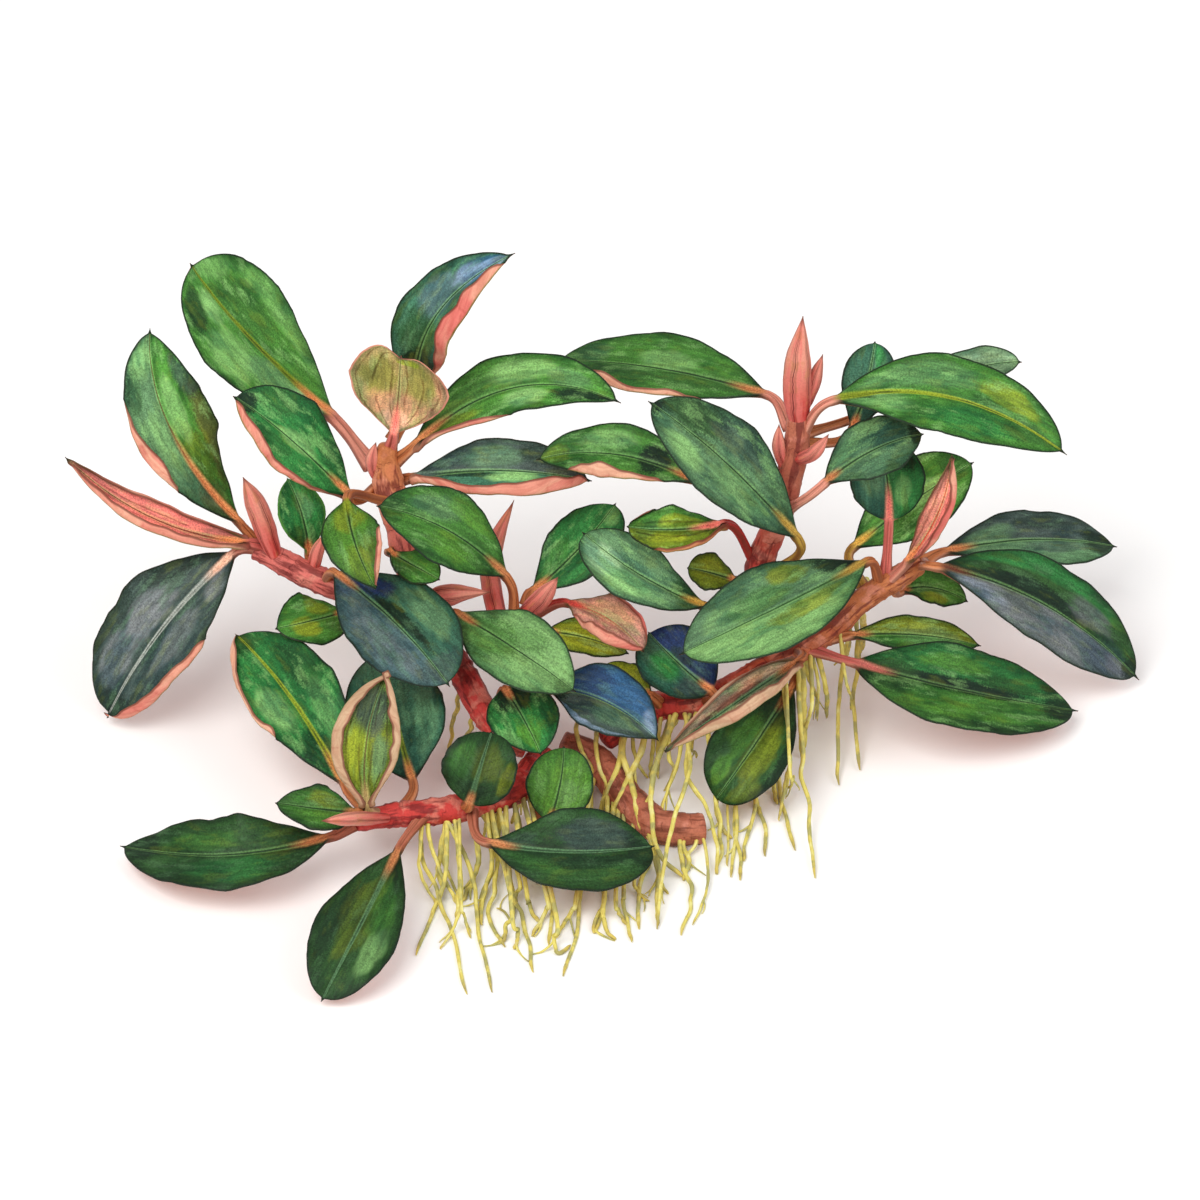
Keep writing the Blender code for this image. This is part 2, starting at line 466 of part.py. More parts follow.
def stem_line(stem, count):
    """Points and radii along a stem's path."""
    points = [seen(*place[:3]) for place in stem.path]
    radii = [Vector((place[3], 0.0, 0.0)) for place in stem.path]
    shares = [index / (count - 1) for index in range(count)]
    return [(curve_point(points, share), curve_point(radii, share).x) for share in shares]


STEM_LINES = {stem.name: stem_line(stem, 60) for stem in STEMS}


def clear_of_stems(point, direction, radius):
    """Whether a petiole's ring at this point stays off every stem."""
    for line in STEM_LINES.values():
        for (start, start_radius), (end, _) in zip(line, line[1:]):
            along = end - start
            share = min(1.0, max(0.0, (point - start).dot(along) / along.length_squared))
            nearest = start + along * share
            away = point - nearest
            lean = abs(direction.dot(along.normalized()))
            if away.length < start_radius * 1.08 + STEM_GAP + radius * lean:
                return False
    return True


def petiole_curve(leaf, share):
    """A point of the petiole from the stem's axis (0) to the blade's base (1)."""
    join, base = seen(*leaf.join), seen(*leaf.base)
    _, axis, _, _ = blade_frame(leaf, 0.0)
    reach = (base - join).length
    first = join.lerp(base, 0.35)
    second = base - axis * (0.35 * reach)
    back = 1.0 - share
    return (join * back ** 3 + first * (3.0 * share * back ** 2)
            + second * (3.0 * share ** 2 * back) + base * share ** 3)


def petiole_rings(leaf):
    """Round rings from just off the stem to the blade's base."""
    steps = 40
    start = 0.0
    for index in range(steps):
        share = index / steps
        here, ahead = petiole_curve(leaf, share), petiole_curve(leaf, share + 1.0 / steps)
        if not clear_of_stems(here, (ahead - here).normalized(), leaf.petiole * 1.15):
            start = share + 1.0 / steps
    start = min(start, 0.94)
    _, axis, side, normal = blade_frame(leaf, 0.0)
    length = (1.0 - start) * (seen(*leaf.base) - seen(*leaf.join)).length
    shares = [1.0, 0.5 + 0.5 * start, start] if length > LONG_PETIOLE else [1.0, start]
    rings = []
    for share in shares:
        here = petiole_curve(leaf, share)
        ahead = petiole_curve(leaf, min(1.0, share + 0.01))
        behind = petiole_curve(leaf, max(0.0, share - 0.01))
        direction = (ahead - behind).normalized()
        turn = axis.rotation_difference(direction)
        side, normal, axis = turn @ side, turn @ normal, direction
        radius = leaf.petiole * (1.0 + 0.15 * (1.0 - share))
        rings.append(round_ring(here, side, normal, radius))
    return rings[::-1]


def loft(rings):
    """A closed body through rings of equally many points, as a bmesh."""
    body = bmesh.new()
    rows = [[body.verts.new(point) for point in ring] for ring in rings]
    count = len(rows[0])
    for lower, upper in zip(rows, rows[1:]):
        for index in range(count):
            after = (index + 1) % count
            body.faces.new((lower[index], lower[after], upper[after], upper[index]))
    body.faces.new(rows[0][::-1])
    body.faces.new(rows[-1])
    bmesh.ops.recalc_face_normals(body, faces=body.faces)
    return body


def leaf_body(leaf):
    """A leaf's petiole and blade as one closed body."""
    big = leaf_length(leaf) * leaf.width > SMALL_LEAF_AREA
    places = (0.14, 0.34, 0.57, 0.80, 0.965) if big else (0.16, 0.42, 0.72, 0.95)
    rings = petiole_rings(leaf) + [blade_ring(leaf, along) for along in places]
    return loft(rings)


def tube_body(points, radii, sides, torn=False):
    """A closed tube through points, with a radius at each."""
    rings = []
    direction = (points[1] - points[0]).normalized()
    side = direction.cross(UP).normalized()
    normal = side.cross(direction)
    for index, point in enumerate(points):
        before, after = points[max(0, index - 1)], points[min(len(points) - 1, index + 1)]
        ahead = (after - before).normalized()
        turn = direction.rotation_difference(ahead)
        side, normal, direction = turn @ side, turn @ normal, ahead
        ring = round_ring(point, side, normal, radii[index], sides, offset=0.5)
        if torn and index == 0:
            ring = [place - direction * (0.9 * (number % 2) + 0.4 * (number % 3))
                    for number, place in enumerate(ring)]
        rings.append(ring)
    return loft(rings)


def spike_body(spike):
    """A pointed bud or spear leaf from inside its stem to its tip."""
    start, middle, tip, radius = spike
    points = [seen(*start), seen(*middle), seen(*tip)]
    shares = (0.0, 0.3, 0.6, 0.85, 1.0)
    widths = (0.75, 1.0, 0.9, 0.5, 0.08)
    return tube_body([curve_point(points, share) for share in shares],
                     [radius * width for width in widths], 6)


def root_body(stem, root):
    """One root as a thin tapered tube, from inside its stem to its tip on the floor."""
    start = seen(*root[0])
    first = min((point for point, _ in STEM_LINES[stem.name]),
                key=lambda point: (point - start).length)
    points = [first] + [seen(*place) for place in root[1:]]
    shares = (0.0, 0.25, 0.5, 0.75, 1.0)
    radii = [ROOT_RADIUS * (1.1 - 0.35 * share) for share in shares]
    return tube_body([curve_point(points, share) for share in shares], radii, 5)


def stem_body(stem):
    """A stem's own tube, with faint knobs where old leaves sat."""
    count = 2 * len(stem.path) - 1
    line = stem_line(stem, count)
    points = [point for point, _ in line]
    radii = [radius * (1.0 + stem.knob * (1 if index % 2 else -1))
             for index, (_, radius) in enumerate(line)]
    return tube_body(points, radii, 8, stem.torn)


def new_object(name, body):
    """Turn a bmesh in mm into a mesh object in metres, flattened where it meets the floor."""
    for corner in body.verts:
        corner.co.z = max(corner.co.z, 0.0)
    bmesh.ops.scale(body, vec=(MM, MM, MM), verts=body.verts)
    bmesh.ops.triangulate(body, faces=body.faces)
    mesh = bpy.data.meshes.new(name)
    body.to_mesh(mesh)
    body.free()
    thing = bpy.data.objects.new(name, mesh)
    bpy.context.scene.collection.objects.link(thing)
    return thing


def fuse(target, body):
    """Unite a body with an object, so that the two are one closed solid."""
    helper = new_object(target.name + "_helper", body)
    union = target.modifiers.new("union", "BOOLEAN")
    union.operation = "UNION"
    union.solver = "MANIFOLD"
    union.object = helper
    depsgraph = bpy.context.evaluated_depsgraph_get()
    mesh = bpy.data.meshes.new_from_object(target.evaluated_get(depsgraph))
    target.modifiers.remove(union)
    target.data = mesh
    bpy.data.objects.remove(helper)


def dress(thing, colour, roughness):
    """Give an object its own Principled material and smooth shading with sharp edges."""
    material = bpy.data.materials.new(thing.name + "_material")
    material.use_nodes = True
    shader = material.node_tree.nodes["Principled BSDF"]
    shader.inputs["Base Color"].default_value = (*colour, 1.0)
    shader.inputs["Roughness"].default_value = roughness
    shader.inputs["Metallic"].default_value = 0.0
    material.diffuse_color = (*colour, 1.0)
    thing.data.materials.clear()
    thing.data.materials.append(material)
    thing.data.shade_smooth()
    thing.data.set_sharp_from_angle(angle=math.radians(50.0))


def build_stem(stem):
    """Model one stem with its spikes and main roots."""
    thing = new_object(stem.name, stem_body(stem))
    for spike in stem.spikes:
        fuse(thing, spike_body(spike))
    for root in stem.roots:
        fuse(thing, root_body(stem, root))
    dress(thing, stem.colour, 0.6)


def build_leaf(leaf):
    """Model one leaf."""
    dress(new_object(leaf.name, leaf_body(leaf)), leaf.colour, 0.45)


def main():
    """Clear the scene and build every sub-part."""
    for thing in list(bpy.data.objects):
        bpy.data.objects.remove(thing)
    for stem in STEMS:
        build_stem(stem)
    for leaf in LEAVES:
        build_leaf(leaf)


main()
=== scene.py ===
"""A bare-root bucephalandra in full detail: leaves, stems, buds and roots on a pale floor.

Places are typed as the pixel where a point shows in the 1200 x 1200 photograph and its height
above the floor in millimetres; seen() turns them into places in space, as in the part's source.
"""

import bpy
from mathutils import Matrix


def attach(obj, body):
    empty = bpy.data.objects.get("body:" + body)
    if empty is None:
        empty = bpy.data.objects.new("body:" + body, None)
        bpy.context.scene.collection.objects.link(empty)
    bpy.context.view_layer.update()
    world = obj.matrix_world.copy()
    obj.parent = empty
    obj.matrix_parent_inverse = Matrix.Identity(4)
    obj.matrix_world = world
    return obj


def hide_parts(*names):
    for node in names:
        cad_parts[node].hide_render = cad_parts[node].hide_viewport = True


bl_info = {
    "name": "Bucephalandra plant",
    "version": (1, 0, 0),
    "blender": (4, 5, 0),
    "location": "View3D > Sidebar > Bucephalandra",
    "description": "Builds a bare-root bucephalandra with its leaves, stems and roots",
    "category": "Object",
}

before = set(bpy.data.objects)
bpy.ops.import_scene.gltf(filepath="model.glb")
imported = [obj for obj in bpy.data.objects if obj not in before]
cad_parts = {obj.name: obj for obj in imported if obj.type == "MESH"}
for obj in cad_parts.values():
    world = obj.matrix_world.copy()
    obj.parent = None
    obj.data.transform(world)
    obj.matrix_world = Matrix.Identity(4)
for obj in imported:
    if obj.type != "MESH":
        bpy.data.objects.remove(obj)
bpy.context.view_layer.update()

import math
import random
from dataclasses import dataclass

import bmesh
import bpy
from bpy.props import FloatProperty, FloatVectorProperty, PointerProperty
from mathutils import Matrix, Vector, noise

MM = 0.001
PLANT_SPAN = 199.0
SPAN_IN_PIXELS = 1076.0
PICTURE_WIDTH = 1200.0
PICTURE_CENTRE = 600.0
MM_PER_PIXEL = PLANT_SPAN / SPAN_IN_PIXELS
VIEW_ELEVATION = math.radians(35.0)
VIEW_DISTANCE = 2200.0
VIEW_CENTRE_HEIGHT = 30.0
FOOTPRINT_CENTRE = (1.13, -18.42)
SENSOR_WIDTH = 36.0
SLOPE_SIN = math.sin(VIEW_ELEVATION)
SLOPE_COS = math.cos(VIEW_ELEVATION)
TO_VIEWER = Vector((0.0, -SLOPE_COS, SLOPE_SIN))
UP = Vector((0.0, 0.0, 1.0))
FLOOR_GAP = 0.02

# blades: where a curl starts, the width left on a side with a flap, the roll of a crease in mm
# before and after its line, and the place along the blade where its width has run out
CURL_STARTS = 0.62
FLAPPED_SIDE = 0.86
ROLL_BEFORE = 0.5
ROLL_AFTER = 0.6
BLADE_ENDS = 0.972

# half widths in mm of the groove above a midrib, of the rib below it and of a notched tip
GROOVE_WIDTH = 0.42
RIB_WIDTH = 0.7
NOTCH_WIDTH = 2.4

# side veins: how many, how far they lean towards the tip and how they curve
VEINS = 9.0
VEIN_LEAN = 0.34
VEIN_CURVE = 1.25

# rings along each form, corners around it and the number of its material on its stem
BLADE_STEPS = 58
SPIKE_RINGS = 34
ROOT_RINGS = 40
TWIG_RINGS = 12
STEPS_A_PIXEL = 8
STEM_SIDES = 28
SPIKE_SIDES = 20
ROOT_SIDES = 8
TWIG_SIDES = 6
STEM_KIND = 0
SPIKE_KIND = 1
ROOT_KIND = 2

# roots in mm: how far a main root wanders and the height at which a finer one rests
ROOT_WANDER = 0.9
ROOT_REST = 0.4

# what a point without a flap says of its crease: far from it, not creased
NO_CREASE = (-9.0, 0.0, 0.0)

# the stage, in metres: each light's name, place, size, energy and colour
FLOOR_REACH = 4.0
SKY_STRENGTH = 0.62
LIGHTS = (("key_light", (-0.5, -0.7, 1.1), 0.9, 14.0, (1.0, 0.985, 0.96)),
          ("fill_light", (0.9, -0.5, 0.8), 1.0, 6.0, (0.97, 0.985, 1.0)))

# places across a blade: shares of the way from the midrib to where the margin's own zone
# starts, then shares of that zone, which holds the crease and the flap
TO_ZONE = (0.0, 0.03, 0.07, 0.13, 0.21, 0.31, 0.42, 0.54, 0.66, 0.78, 0.90, 1.0)
IN_ZONE = (0.12, 0.25, 0.38, 0.52, 0.67, 0.82, 0.94, 1.0)
PLACES = len(TO_ZONE) + len(IN_ZONE)


def seen(px, py, height):
    """Return the point in mm that shows at a pixel and lies at this height above the floor."""
    across = (px - PICTURE_CENTRE) * MM_PER_PIXEL
    up = (PICTURE_CENTRE - py) * MM_PER_PIXEL
    rise = height - VIEW_CENTRE_HEIGHT
    near = (rise - up * SLOPE_COS) / (SLOPE_SIN - up * SLOPE_COS / VIEW_DISTANCE)
    shrink = 1.0 - near / VIEW_DISTANCE
    away = up * shrink * SLOPE_SIN - near * SLOPE_COS
    centre_x, centre_y = FOOTPRINT_CENTRE
    return Vector((across * shrink - centre_x, away - centre_y, height))


def ease(value, low, high):
    """Rise smoothly from 0 at low to 1 at high."""
    part = min(1.0, max(0.0, (value - low) / (high - low)))
    return part * part * (3.0 - 2.0 * part)


# Sizes and colours

def colour_property(name, description, red, green, blue):
    """A colour that a user can change."""
    return FloatVectorProperty(name=name, description=description, subtype="COLOR", size=3,
                               min=0.0, max=1.0, default=(red, green, blue))


class PlantSizes(bpy.types.PropertyGroup):
    """Sizes of the plant's finer forms."""

    leaf_thickness: FloatProperty(
        name="Leaf thickness", description="Thickness of a blade beside its midrib",
        default=0.00055, min=0.0002, max=0.001, unit="LENGTH", precision=5)
    midrib_width: FloatProperty(
        name="Midrib width", description="Width of the midrib at the base of a blade",
        default=0.0011, min=0.0004, max=0.002, unit="LENGTH", precision=5)
    quilting: FloatProperty(
        name="Quilting", description="Height of the low swellings between the side veins",
        default=0.00006, min=0.0, max=0.0004, unit="LENGTH", precision=5)
    root_radius: FloatProperty(
        name="Root radius", description="Radius of a main root where it leaves its stem",
        default=0.00045, min=0.0002, max=0.0008, unit="LENGTH", precision=5)
    fine_root_radius: FloatProperty(
        name="Fine root radius", description="Radius of the thinner roots between the main ones",
        default=0.00036, min=0.0001, max=0.0006, unit="LENGTH", precision=5)
    scar_spacing: FloatProperty(
        name="Leaf scar spacing", description="Distance between the ringed scars of old leaves",
        default=0.0046, min=0.002, max=0.01, unit="LENGTH", precision=4)


class PlantColours(bpy.types.PropertyGroup):
    """Colours of the plant's leaves, stems and roots."""

    green: colour_property("Green", "Upper face of a common leaf", 0.060, 0.200, 0.030)
    emerald: colour_property("Emerald", "Upper face of a cooler green leaf", 0.026, 0.170, 0.038)
    bright: colour_property("Bright green", "Upper face of a light leaf", 0.100, 0.270, 0.030)
    dark: colour_property("Dark green", "Upper face of an old leaf", 0.024, 0.075, 0.018)
    deep: colour_property("Deep green", "Darkest patches", 0.006, 0.020, 0.010)
    # light and pale serve mostly as painted highlights, pale glossy spots of the leaves' sheen
    light: colour_property("Light green", "Pale glossy patches", 0.220, 0.430, 0.140)
    pale: colour_property("Pale green", "Palest patches", 0.360, 0.560, 0.300)
    olive: colour_property("Olive", "Upper face of a yellowish leaf", 0.150, 0.190, 0.012)
    yellow_green: colour_property("Yellow green", "Yellowish patches", 0.270, 0.320, 0.020)
    teal: colour_property("Teal", "Upper face of a bluish green leaf", 0.034, 0.110, 0.065)
    grey_green: colour_property("Grey green", "Upper face of a dull leaf", 0.100, 0.210, 0.095)
    blue_grey: colour_property("Blue grey", "Upper face of a blue leaf", 0.070, 0.125, 0.130)
    navy: colour_property("Navy", "Dark blue patches", 0.014, 0.032, 0.100)
    blue: colour_property("Blue", "Blue patches", 0.026, 0.088, 0.185)
    ash: colour_property("Ash", "Pale grey midribs", 0.330, 0.350, 0.310)
    pale_blue: colour_property("Pale blue", "Pale blue patches", 0.300, 0.380, 0.520)
    violet_grey: colour_property("Violet grey", "Violet patches", 0.155, 0.168, 0.172)
    slate: colour_property("Slate", "Upper face of a grey leaf", 0.050, 0.075, 0.065)
    brown: colour_property("Brown", "Brownish patches", 0.110, 0.065, 0.025)
    tan: colour_property("Tan", "Upper face of a young leaf", 0.400, 0.280, 0.110)
    beige: colour_property("Beige", "Undersides of rolled leaves", 0.540, 0.370, 0.225)
    salmon: colour_property("Salmon", "Underside and curled margin", 0.720, 0.285, 0.205)
    coral: colour_property("Coral", "Redder undersides and young leaves", 0.680, 0.170, 0.140)
    peach: colour_property("Peach", "Palest undersides", 0.780, 0.430, 0.290)
    orange: colour_property("Orange", "Petioles", 0.540, 0.190, 0.070)
    amber: colour_property("Amber", "Yellowish midribs", 0.440, 0.260, 0.045)
    red: colour_property("Red", "Fresh rhizome", 0.540, 0.050, 0.042)
    crimson: colour_property("Crimson", "Dark lines of the rhizome", 0.130, 0.014, 0.014)
    rust: colour_property("Rust", "Old rhizome", 0.450, 0.145, 0.085)
    bark: colour_property("Bark", "Dark rings of the old rhizome", 0.140, 0.035, 0.018)
    root: colour_property("Root", "Roots", 0.700, 0.610, 0.150)
    root_pale: colour_property("Pale root", "Palest stretches of the roots", 0.800, 0.780, 0.360)
    root_shade: colour_property("Root shade", "Greyer stretches of the roots", 0.380, 0.370, 0.140)
    ink: colour_property("Outline", "Dark thin rim of a leaf", 0.008, 0.016, 0.008)
    floor: colour_property("Floor", "The surface it rests on", 0.950, 0.950, 0.945)


def sizes():
    """The sizes as the user set them."""
    return bpy.context.scene.plant_sizes


def tint(name):
    """A palette colour as four numbers."""
    return (*getattr(bpy.context.scene.plant_colours, name), 1.0)


# The plant's own tables

@dataclass
class Leaf:
    """One leaf: its form as in the part's source, then the colours of its faces.

    join, base and tip are (pixel x, pixel y, height), middle is only a pixel. A flap is pairs of
    (place along the blade, width in mm). A patch is (place along, place across, length, width,
    colour, strength), with shares of the blade's length and of its half width.
    """

    name: str
    join: tuple
    base: tuple
    middle: tuple
    tip: tuple
    width: float
    left: str = "green"
    right: str = ""
    widest: float = 0.52
    base_full: float = 0.95
    tip_full: float = 0.60
    arch: float = 2.0
    fold: float = 8.0
    curl_left: float = 0.0
    flap_left: tuple = ()
    flap_right: tuple = ()
    flap_turn: float = 140.0
    wave: float = 0.4
    waves: float = 2.5
    petiole: float = 0.9
    facing: float = 0.5
    midrib: str = "deep"
    foot: str = "orange"
    foot_reach: float = 0.22
    petiole_tint: str = "orange"
    under: str = "salmon"
    rim: str = "ink"
    mottle: float = 0.55
    veins: float = 0.14
    stripes: float = 0.0
    tone: float = 1.0
    notch: float = 0.0
    patches: tuple = ()


# patches in light and pale are painted highlights, pale glossy spots of the leaves' sheen
LEAVES = [
    # upper left shoot
    Leaf("upper_left_leaf_tall", (372, 466, 45), (331, 416, 50), (243, 331), (190, 263, 86), 22.0,
         "green", widest=0.55, base_full=0.8, tip_full=0.45, petiole=1.2, midrib="olive",
         petiole_tint="salmon", tone=1.3,
         patches=((0.80, -0.60, 0.14, 0.34, "deep", 0.75), (0.73, -0.22, 0.13, 0.20, "light", 0.7),
                  (0.50, -0.55, 0.17, 0.40, "light", 0.5),
                  (0.28, -0.35, 0.18, 0.35, "grey_green", 0.6),
                  (0.10, -0.35, 0.10, 0.50, "pale", 0.6), (0.60, 0.30, 0.28, 0.36, "dark", 0.5),
                  (0.92, 0.50, 0.16, 0.50, "light", 0.35),
                  (0.40, 0.80, 0.40, 0.25, "light", 0.3))),
    Leaf("upper_left_leaf_emerald", (378, 488, 41), (350, 497, 44), (291, 440), (233, 396, 69),
         17.0, "emerald", wave=0.5, tone=1.3,
         flap_left=((0.0, 0.5), (0.3, 0.8), (0.5, 1.5), (0.75, 2.0), (0.92, 1.4), (1.0, 0.0)),
         patches=((0.93, 0.10, 0.14, 0.9, "deep", 0.95), (0.70, 0.65, 0.18, 0.4, "dark", 0.6),
                  (0.45, 0.05, 0.17, 0.24, "light", 0.75), (0.22, 0.60, 0.15, 0.5, "deep", 0.5),
                  (0.62, -0.45, 0.18, 0.3, "dark", 0.4))),
    Leaf("upper_left_leaf_blue", (392, 440, 50), (416, 394, 58), (437, 315), (515, 253, 93), 15.0,
         "teal", widest=0.45, tip_full=0.7, fold=8, under="coral", tone=1.6,
         flap_right=((0.08, 0.5), (0.25, 1.4), (0.45, 2.8), (0.65, 3.3), (0.85, 2.3), (0.98, 0.0)),
         patches=((0.60, -0.30, 0.20, 0.50, "blue_grey", 0.85),
                  (0.84, -0.30, 0.15, 0.7, "blue", 0.8),
                  (0.78, -0.25, 0.12, 0.5, "pale_blue", 0.5),
                  (0.92, 0.00, 0.10, 0.6, "pale_blue", 0.5), (0.33, -0.2, 0.16, 0.8, "dark", 0.7),
                  # the last patch, deep along the right margin, is a painted shadow of the fold
                  (0.14, 0.0, 0.15, 1.0, "deep", 0.95), (0.7, 0.75, 0.3, 0.2, "deep", 0.7))),
    Leaf("upper_left_leaf_heart", (389, 452, 48), (394, 434, 53), (399, 391), (401, 347, 76), 19.0,
         "tan", widest=0.6, tip_full=0.36, arch=-1.5, fold=4, wave=0.3, midrib="brown",
         foot="coral", foot_reach=0.45, petiole_tint="coral", veins=0.1, stripes=6.0, rim="salmon",
         mottle=0.35, tone=1.5, notch=3.2,
         patches=((0.66, -0.45, 0.28, 0.45, "olive", 0.55), (0.68, 0.45, 0.28, 0.4, "olive", 0.5),
                  (0.28, 0.0, 0.25, 0.9, "salmon", 0.45),
                  (0.92, 0.25, 0.08, 0.4, "yellow_green", 0.8),
                  (0.15, 0.0, 0.15, 0.9, "peach", 0.6), (0.5, 0.9, 0.4, 0.2, "salmon", 0.5))),
    Leaf("upper_left_leaf_long", (395, 462, 46), (413, 447, 50), (514, 388), (621, 403, 62), 13.8,
         "green", widest=0.5, arch=3.0, tone=1.3,
         flap_right=((0.0, 0.5), (0.1, 0.9), (0.3, 1.1), (0.45, 0.5), (0.52, 0.0)),
         patches=((0.84, 0.45, 0.16, 0.5, "deep", 0.95), (0.55, 0.45, 0.13, 0.4, "light", 0.85),
                  (0.14, 0.40, 0.16, 0.6, "olive", 0.6), (0.55, -0.50, 0.17, 0.4, "light", 0.6),
                  (0.32, -0.40, 0.12, 0.4, "dark", 0.4),
                  (0.76, -0.3, 0.12, 0.4, "grey_green", 0.5))),
    Leaf("upper_left_leaf_folded", (396, 482, 41), (412, 478, 43), (500, 471), (592, 481, 46),
         13.4, "slate", "teal", foot="slate", tone=1.6,
         flap_right=((0.0, 1.2), (0.15, 1.6), (0.35, 1.5), (0.55, 2.3), (0.78, 2.9), (0.92, 2.0),
                     (1.0, 0.0)),
         patches=((0.45, -0.45, 0.20, 0.45, "grey_green", 0.5),
                  (0.70, -0.60, 0.12, 0.4, "deep", 0.7), (0.58, 0.25, 0.18, 0.28, "light", 0.85),
                  (0.30, 0.15, 0.22, 0.16, "deep", 0.8), (0.60, 0.85, 0.35, 0.16, "deep", 0.8))),
    Leaf("upper_left_leaf_hanging", (384, 500, 41), (347, 501, 49), (355, 543), (376, 590, 41),
         12.0, "bright", widest=0.42, tip_full=0.8, facing=0.2, foot="yellow_green", tone=0.75,
         flap_left=((0.38, 0.0), (0.5, 1.2), (0.8, 1.5), (0.95, 0.7), (1.0, 0.0)),
         patches=((0.20, 0.0, 0.20, 0.9, "yellow_green", 0.6), (0.6, -0.4, 0.2, 0.4, "olive", 0.6),
                  (0.75, 0.1, 0.25, 0.8, "yellow_green", 0.35),
                  (0.5, 0.7, 0.3, 0.3, "green", 0.6))),
    Leaf("upper_left_leaf_small", (403, 556, 31), (390, 552, 34), (414, 566), (440, 580, 36), 7.5,
         "green", widest=0.6, tip_full=0.5, arch=1.0, tone=1.55),
    # left stem
    Leaf("left_leaf_tall", (264, 551, 31), (240, 524, 37), (169, 426), (150, 328, 78), 17.0,
         "grey_green", "green", widest=0.5, wave=0.9, waves=3.0, foot_reach=0.55, midrib="brown",
         tone=1.3,
         flap_left=((0.25, 0.0), (0.32, 1.2), (0.42, 2.4), (0.52, 1.6), (0.60, 0.9), (0.68, 0.7),
                    (0.73, 0.0)),
         patches=((0.40, 0.85, 0.30, 0.30, "brown", 0.6), (0.72, 0.80, 0.16, 0.30, "slate", 0.7),
                  (0.30, 0.30, 0.14, 0.5, "olive", 0.5), (0.58, 0.25, 0.20, 0.25, "light", 0.6),
                  (0.85, -0.40, 0.12, 0.5, "light", 0.6), (0.10, -0.20, 0.14, 0.9, "brown", 0.45),
                  (0.45, -0.35, 0.16, 0.3, "light", 0.4), (0.72, -0.7, 0.12, 0.3, "dark", 0.6))),
    Leaf("left_leaf_grey", (264, 549, 31), (236, 552, 32), (163, 628), (107, 718, 1.6), 21.0,
         "slate", tip_full=0.42, wave=0.9, waves=3.0, arch=3.0, midrib="ash", foot="peach",
         petiole_tint="salmon", tone=1.22,
         flap_left=((0.36, 0.0), (0.45, 1.4), (0.62, 1.9), (0.75, 2.3), (0.9, 2.4), (0.97, 1.5),
                    (1.0, 0.0)),
         patches=((0.48, 0.40, 0.20, 0.35, "violet_grey", 0.9),
                  (0.75, 0.45, 0.18, 0.4, "violet_grey", 0.7),
                  (0.25, 0.75, 0.22, 0.3, "deep", 0.7),
                  (0.14, -0.45, 0.13, 0.5, "violet_grey", 0.6),
                  (0.50, -0.40, 0.22, 0.3, "violet_grey", 0.4),
                  (0.93, 0.0, 0.08, 1.0, "deep", 0.7), (0.62, 0.85, 0.2, 0.2, "deep", 0.5))),
    Leaf("left_leaf_rolled", (262, 546, 32), (247, 543, 34), (150, 517), (65, 457, 44), 7.4,
         "coral", widest=0.45, base_full=0.6, tip_full=0.9, flap_turn=125, fold=15, arch=1.0,
         midrib="crimson", rim="brown", veins=0.0, stripes=3.0, petiole_tint="coral", mottle=0.3,
         tone=1.4,
         flap_left=((0.0, 0.6), (0.3, 1.6), (0.6, 1.7), (0.9, 0.8), (1.0, 0.0)),
         flap_right=((0.0, 0.6), (0.3, 1.2), (0.6, 1.3), (0.9, 0.6), (1.0, 0.0))),
    Leaf("left_leaf_teal", (316, 577, 28), (309, 552, 30), (302, 515), (287, 478, 44), 9.0,
         "emerald", widest=0.55, rim="green", tone=1.35,
         patches=((0.6, 0.2, 0.2, 0.4, "grey_green", 0.5), (0.25, -0.5, 0.2, 0.5, "deep", 0.5))),
    Leaf("left_leaf_blue_grey", (325, 582, 27), (334, 573, 31), (395, 623), (450, 687, 26), 19.8,
         "teal", "blue_grey", widest=0.58, tip_full=0.48, arch=2.5, tone=1.05,
         patches=((0.24, -0.35, 0.13, 0.45, "navy", 1.0),
                  (0.58, -0.62, 0.22, 0.30, "grey_green", 0.75),
                  (0.50, -0.15, 0.32, 0.14, "deep", 0.95),
                  (0.55, 0.50, 0.35, 0.35, "violet_grey", 0.4),
                  (0.10, 0.30, 0.10, 0.7, "navy", 0.5), (0.90, -0.1, 0.1, 0.9, "slate", 0.6))),
    Leaf("left_leaf_olive", (340, 590, 26), (346, 612, 22), (312, 621), (275, 629, 26), 12.0,
         "green", widest=0.5, arch=1.0, tone=1.2,
         patches=((0.65, -0.2, 0.2, 0.5, "yellow_green", 0.7),
                  (0.35, 0.5, 0.2, 0.4, "yellow_green", 0.5),
                  (0.25, -0.5, 0.2, 0.4, "dark", 0.5))),
    # centre shoot and the trunk below it
    Leaf("centre_leaf_bright", (515, 621, 24.0), (506, 577, 34.5), (447, 530), (376, 506, 50),
         15.5, "green", arch=3.0, tone=0.85,
         patches=((0.62, 0.45, 0.2, 0.4, "grey_green", 0.7),
                  (0.45, -0.4, 0.25, 0.4, "bright", 0.6), (0.40, 0.65, 0.2, 0.3, "bright", 0.6),
                  (0.9, 0.0, 0.1, 0.9, "dark", 0.6), (0.15, -0.4, 0.15, 0.5, "dark", 0.4))),
    Leaf("centre_leaf_back", (526, 606, 25), (532, 592, 27), (579, 549), (616, 503, 36), 13.0,
         "emerald", widest=0.55, tip_full=0.55, arch=1.0, tone=1.2,
         patches=((0.88, 0.3, 0.12, 0.5, "light", 0.4), (0.3, -0.4, 0.25, 0.4, "green", 0.5))),
    Leaf("centre_leaf_curled", (531, 616, 23), (566, 603, 27), (609, 620), (644, 652, 25), 11.0,
         "salmon", widest=0.55, tip_full=0.55, wave=0.6, under="coral", midrib="rust",
         petiole_tint="red", rim="brown", veins=0.1, foot="red", foot_reach=0.3, mottle=0.4,
         flap_left=((0.28, 0.0), (0.45, 1.0), (0.8, 1.2), (0.95, 0.6), (1.0, 0.0)),
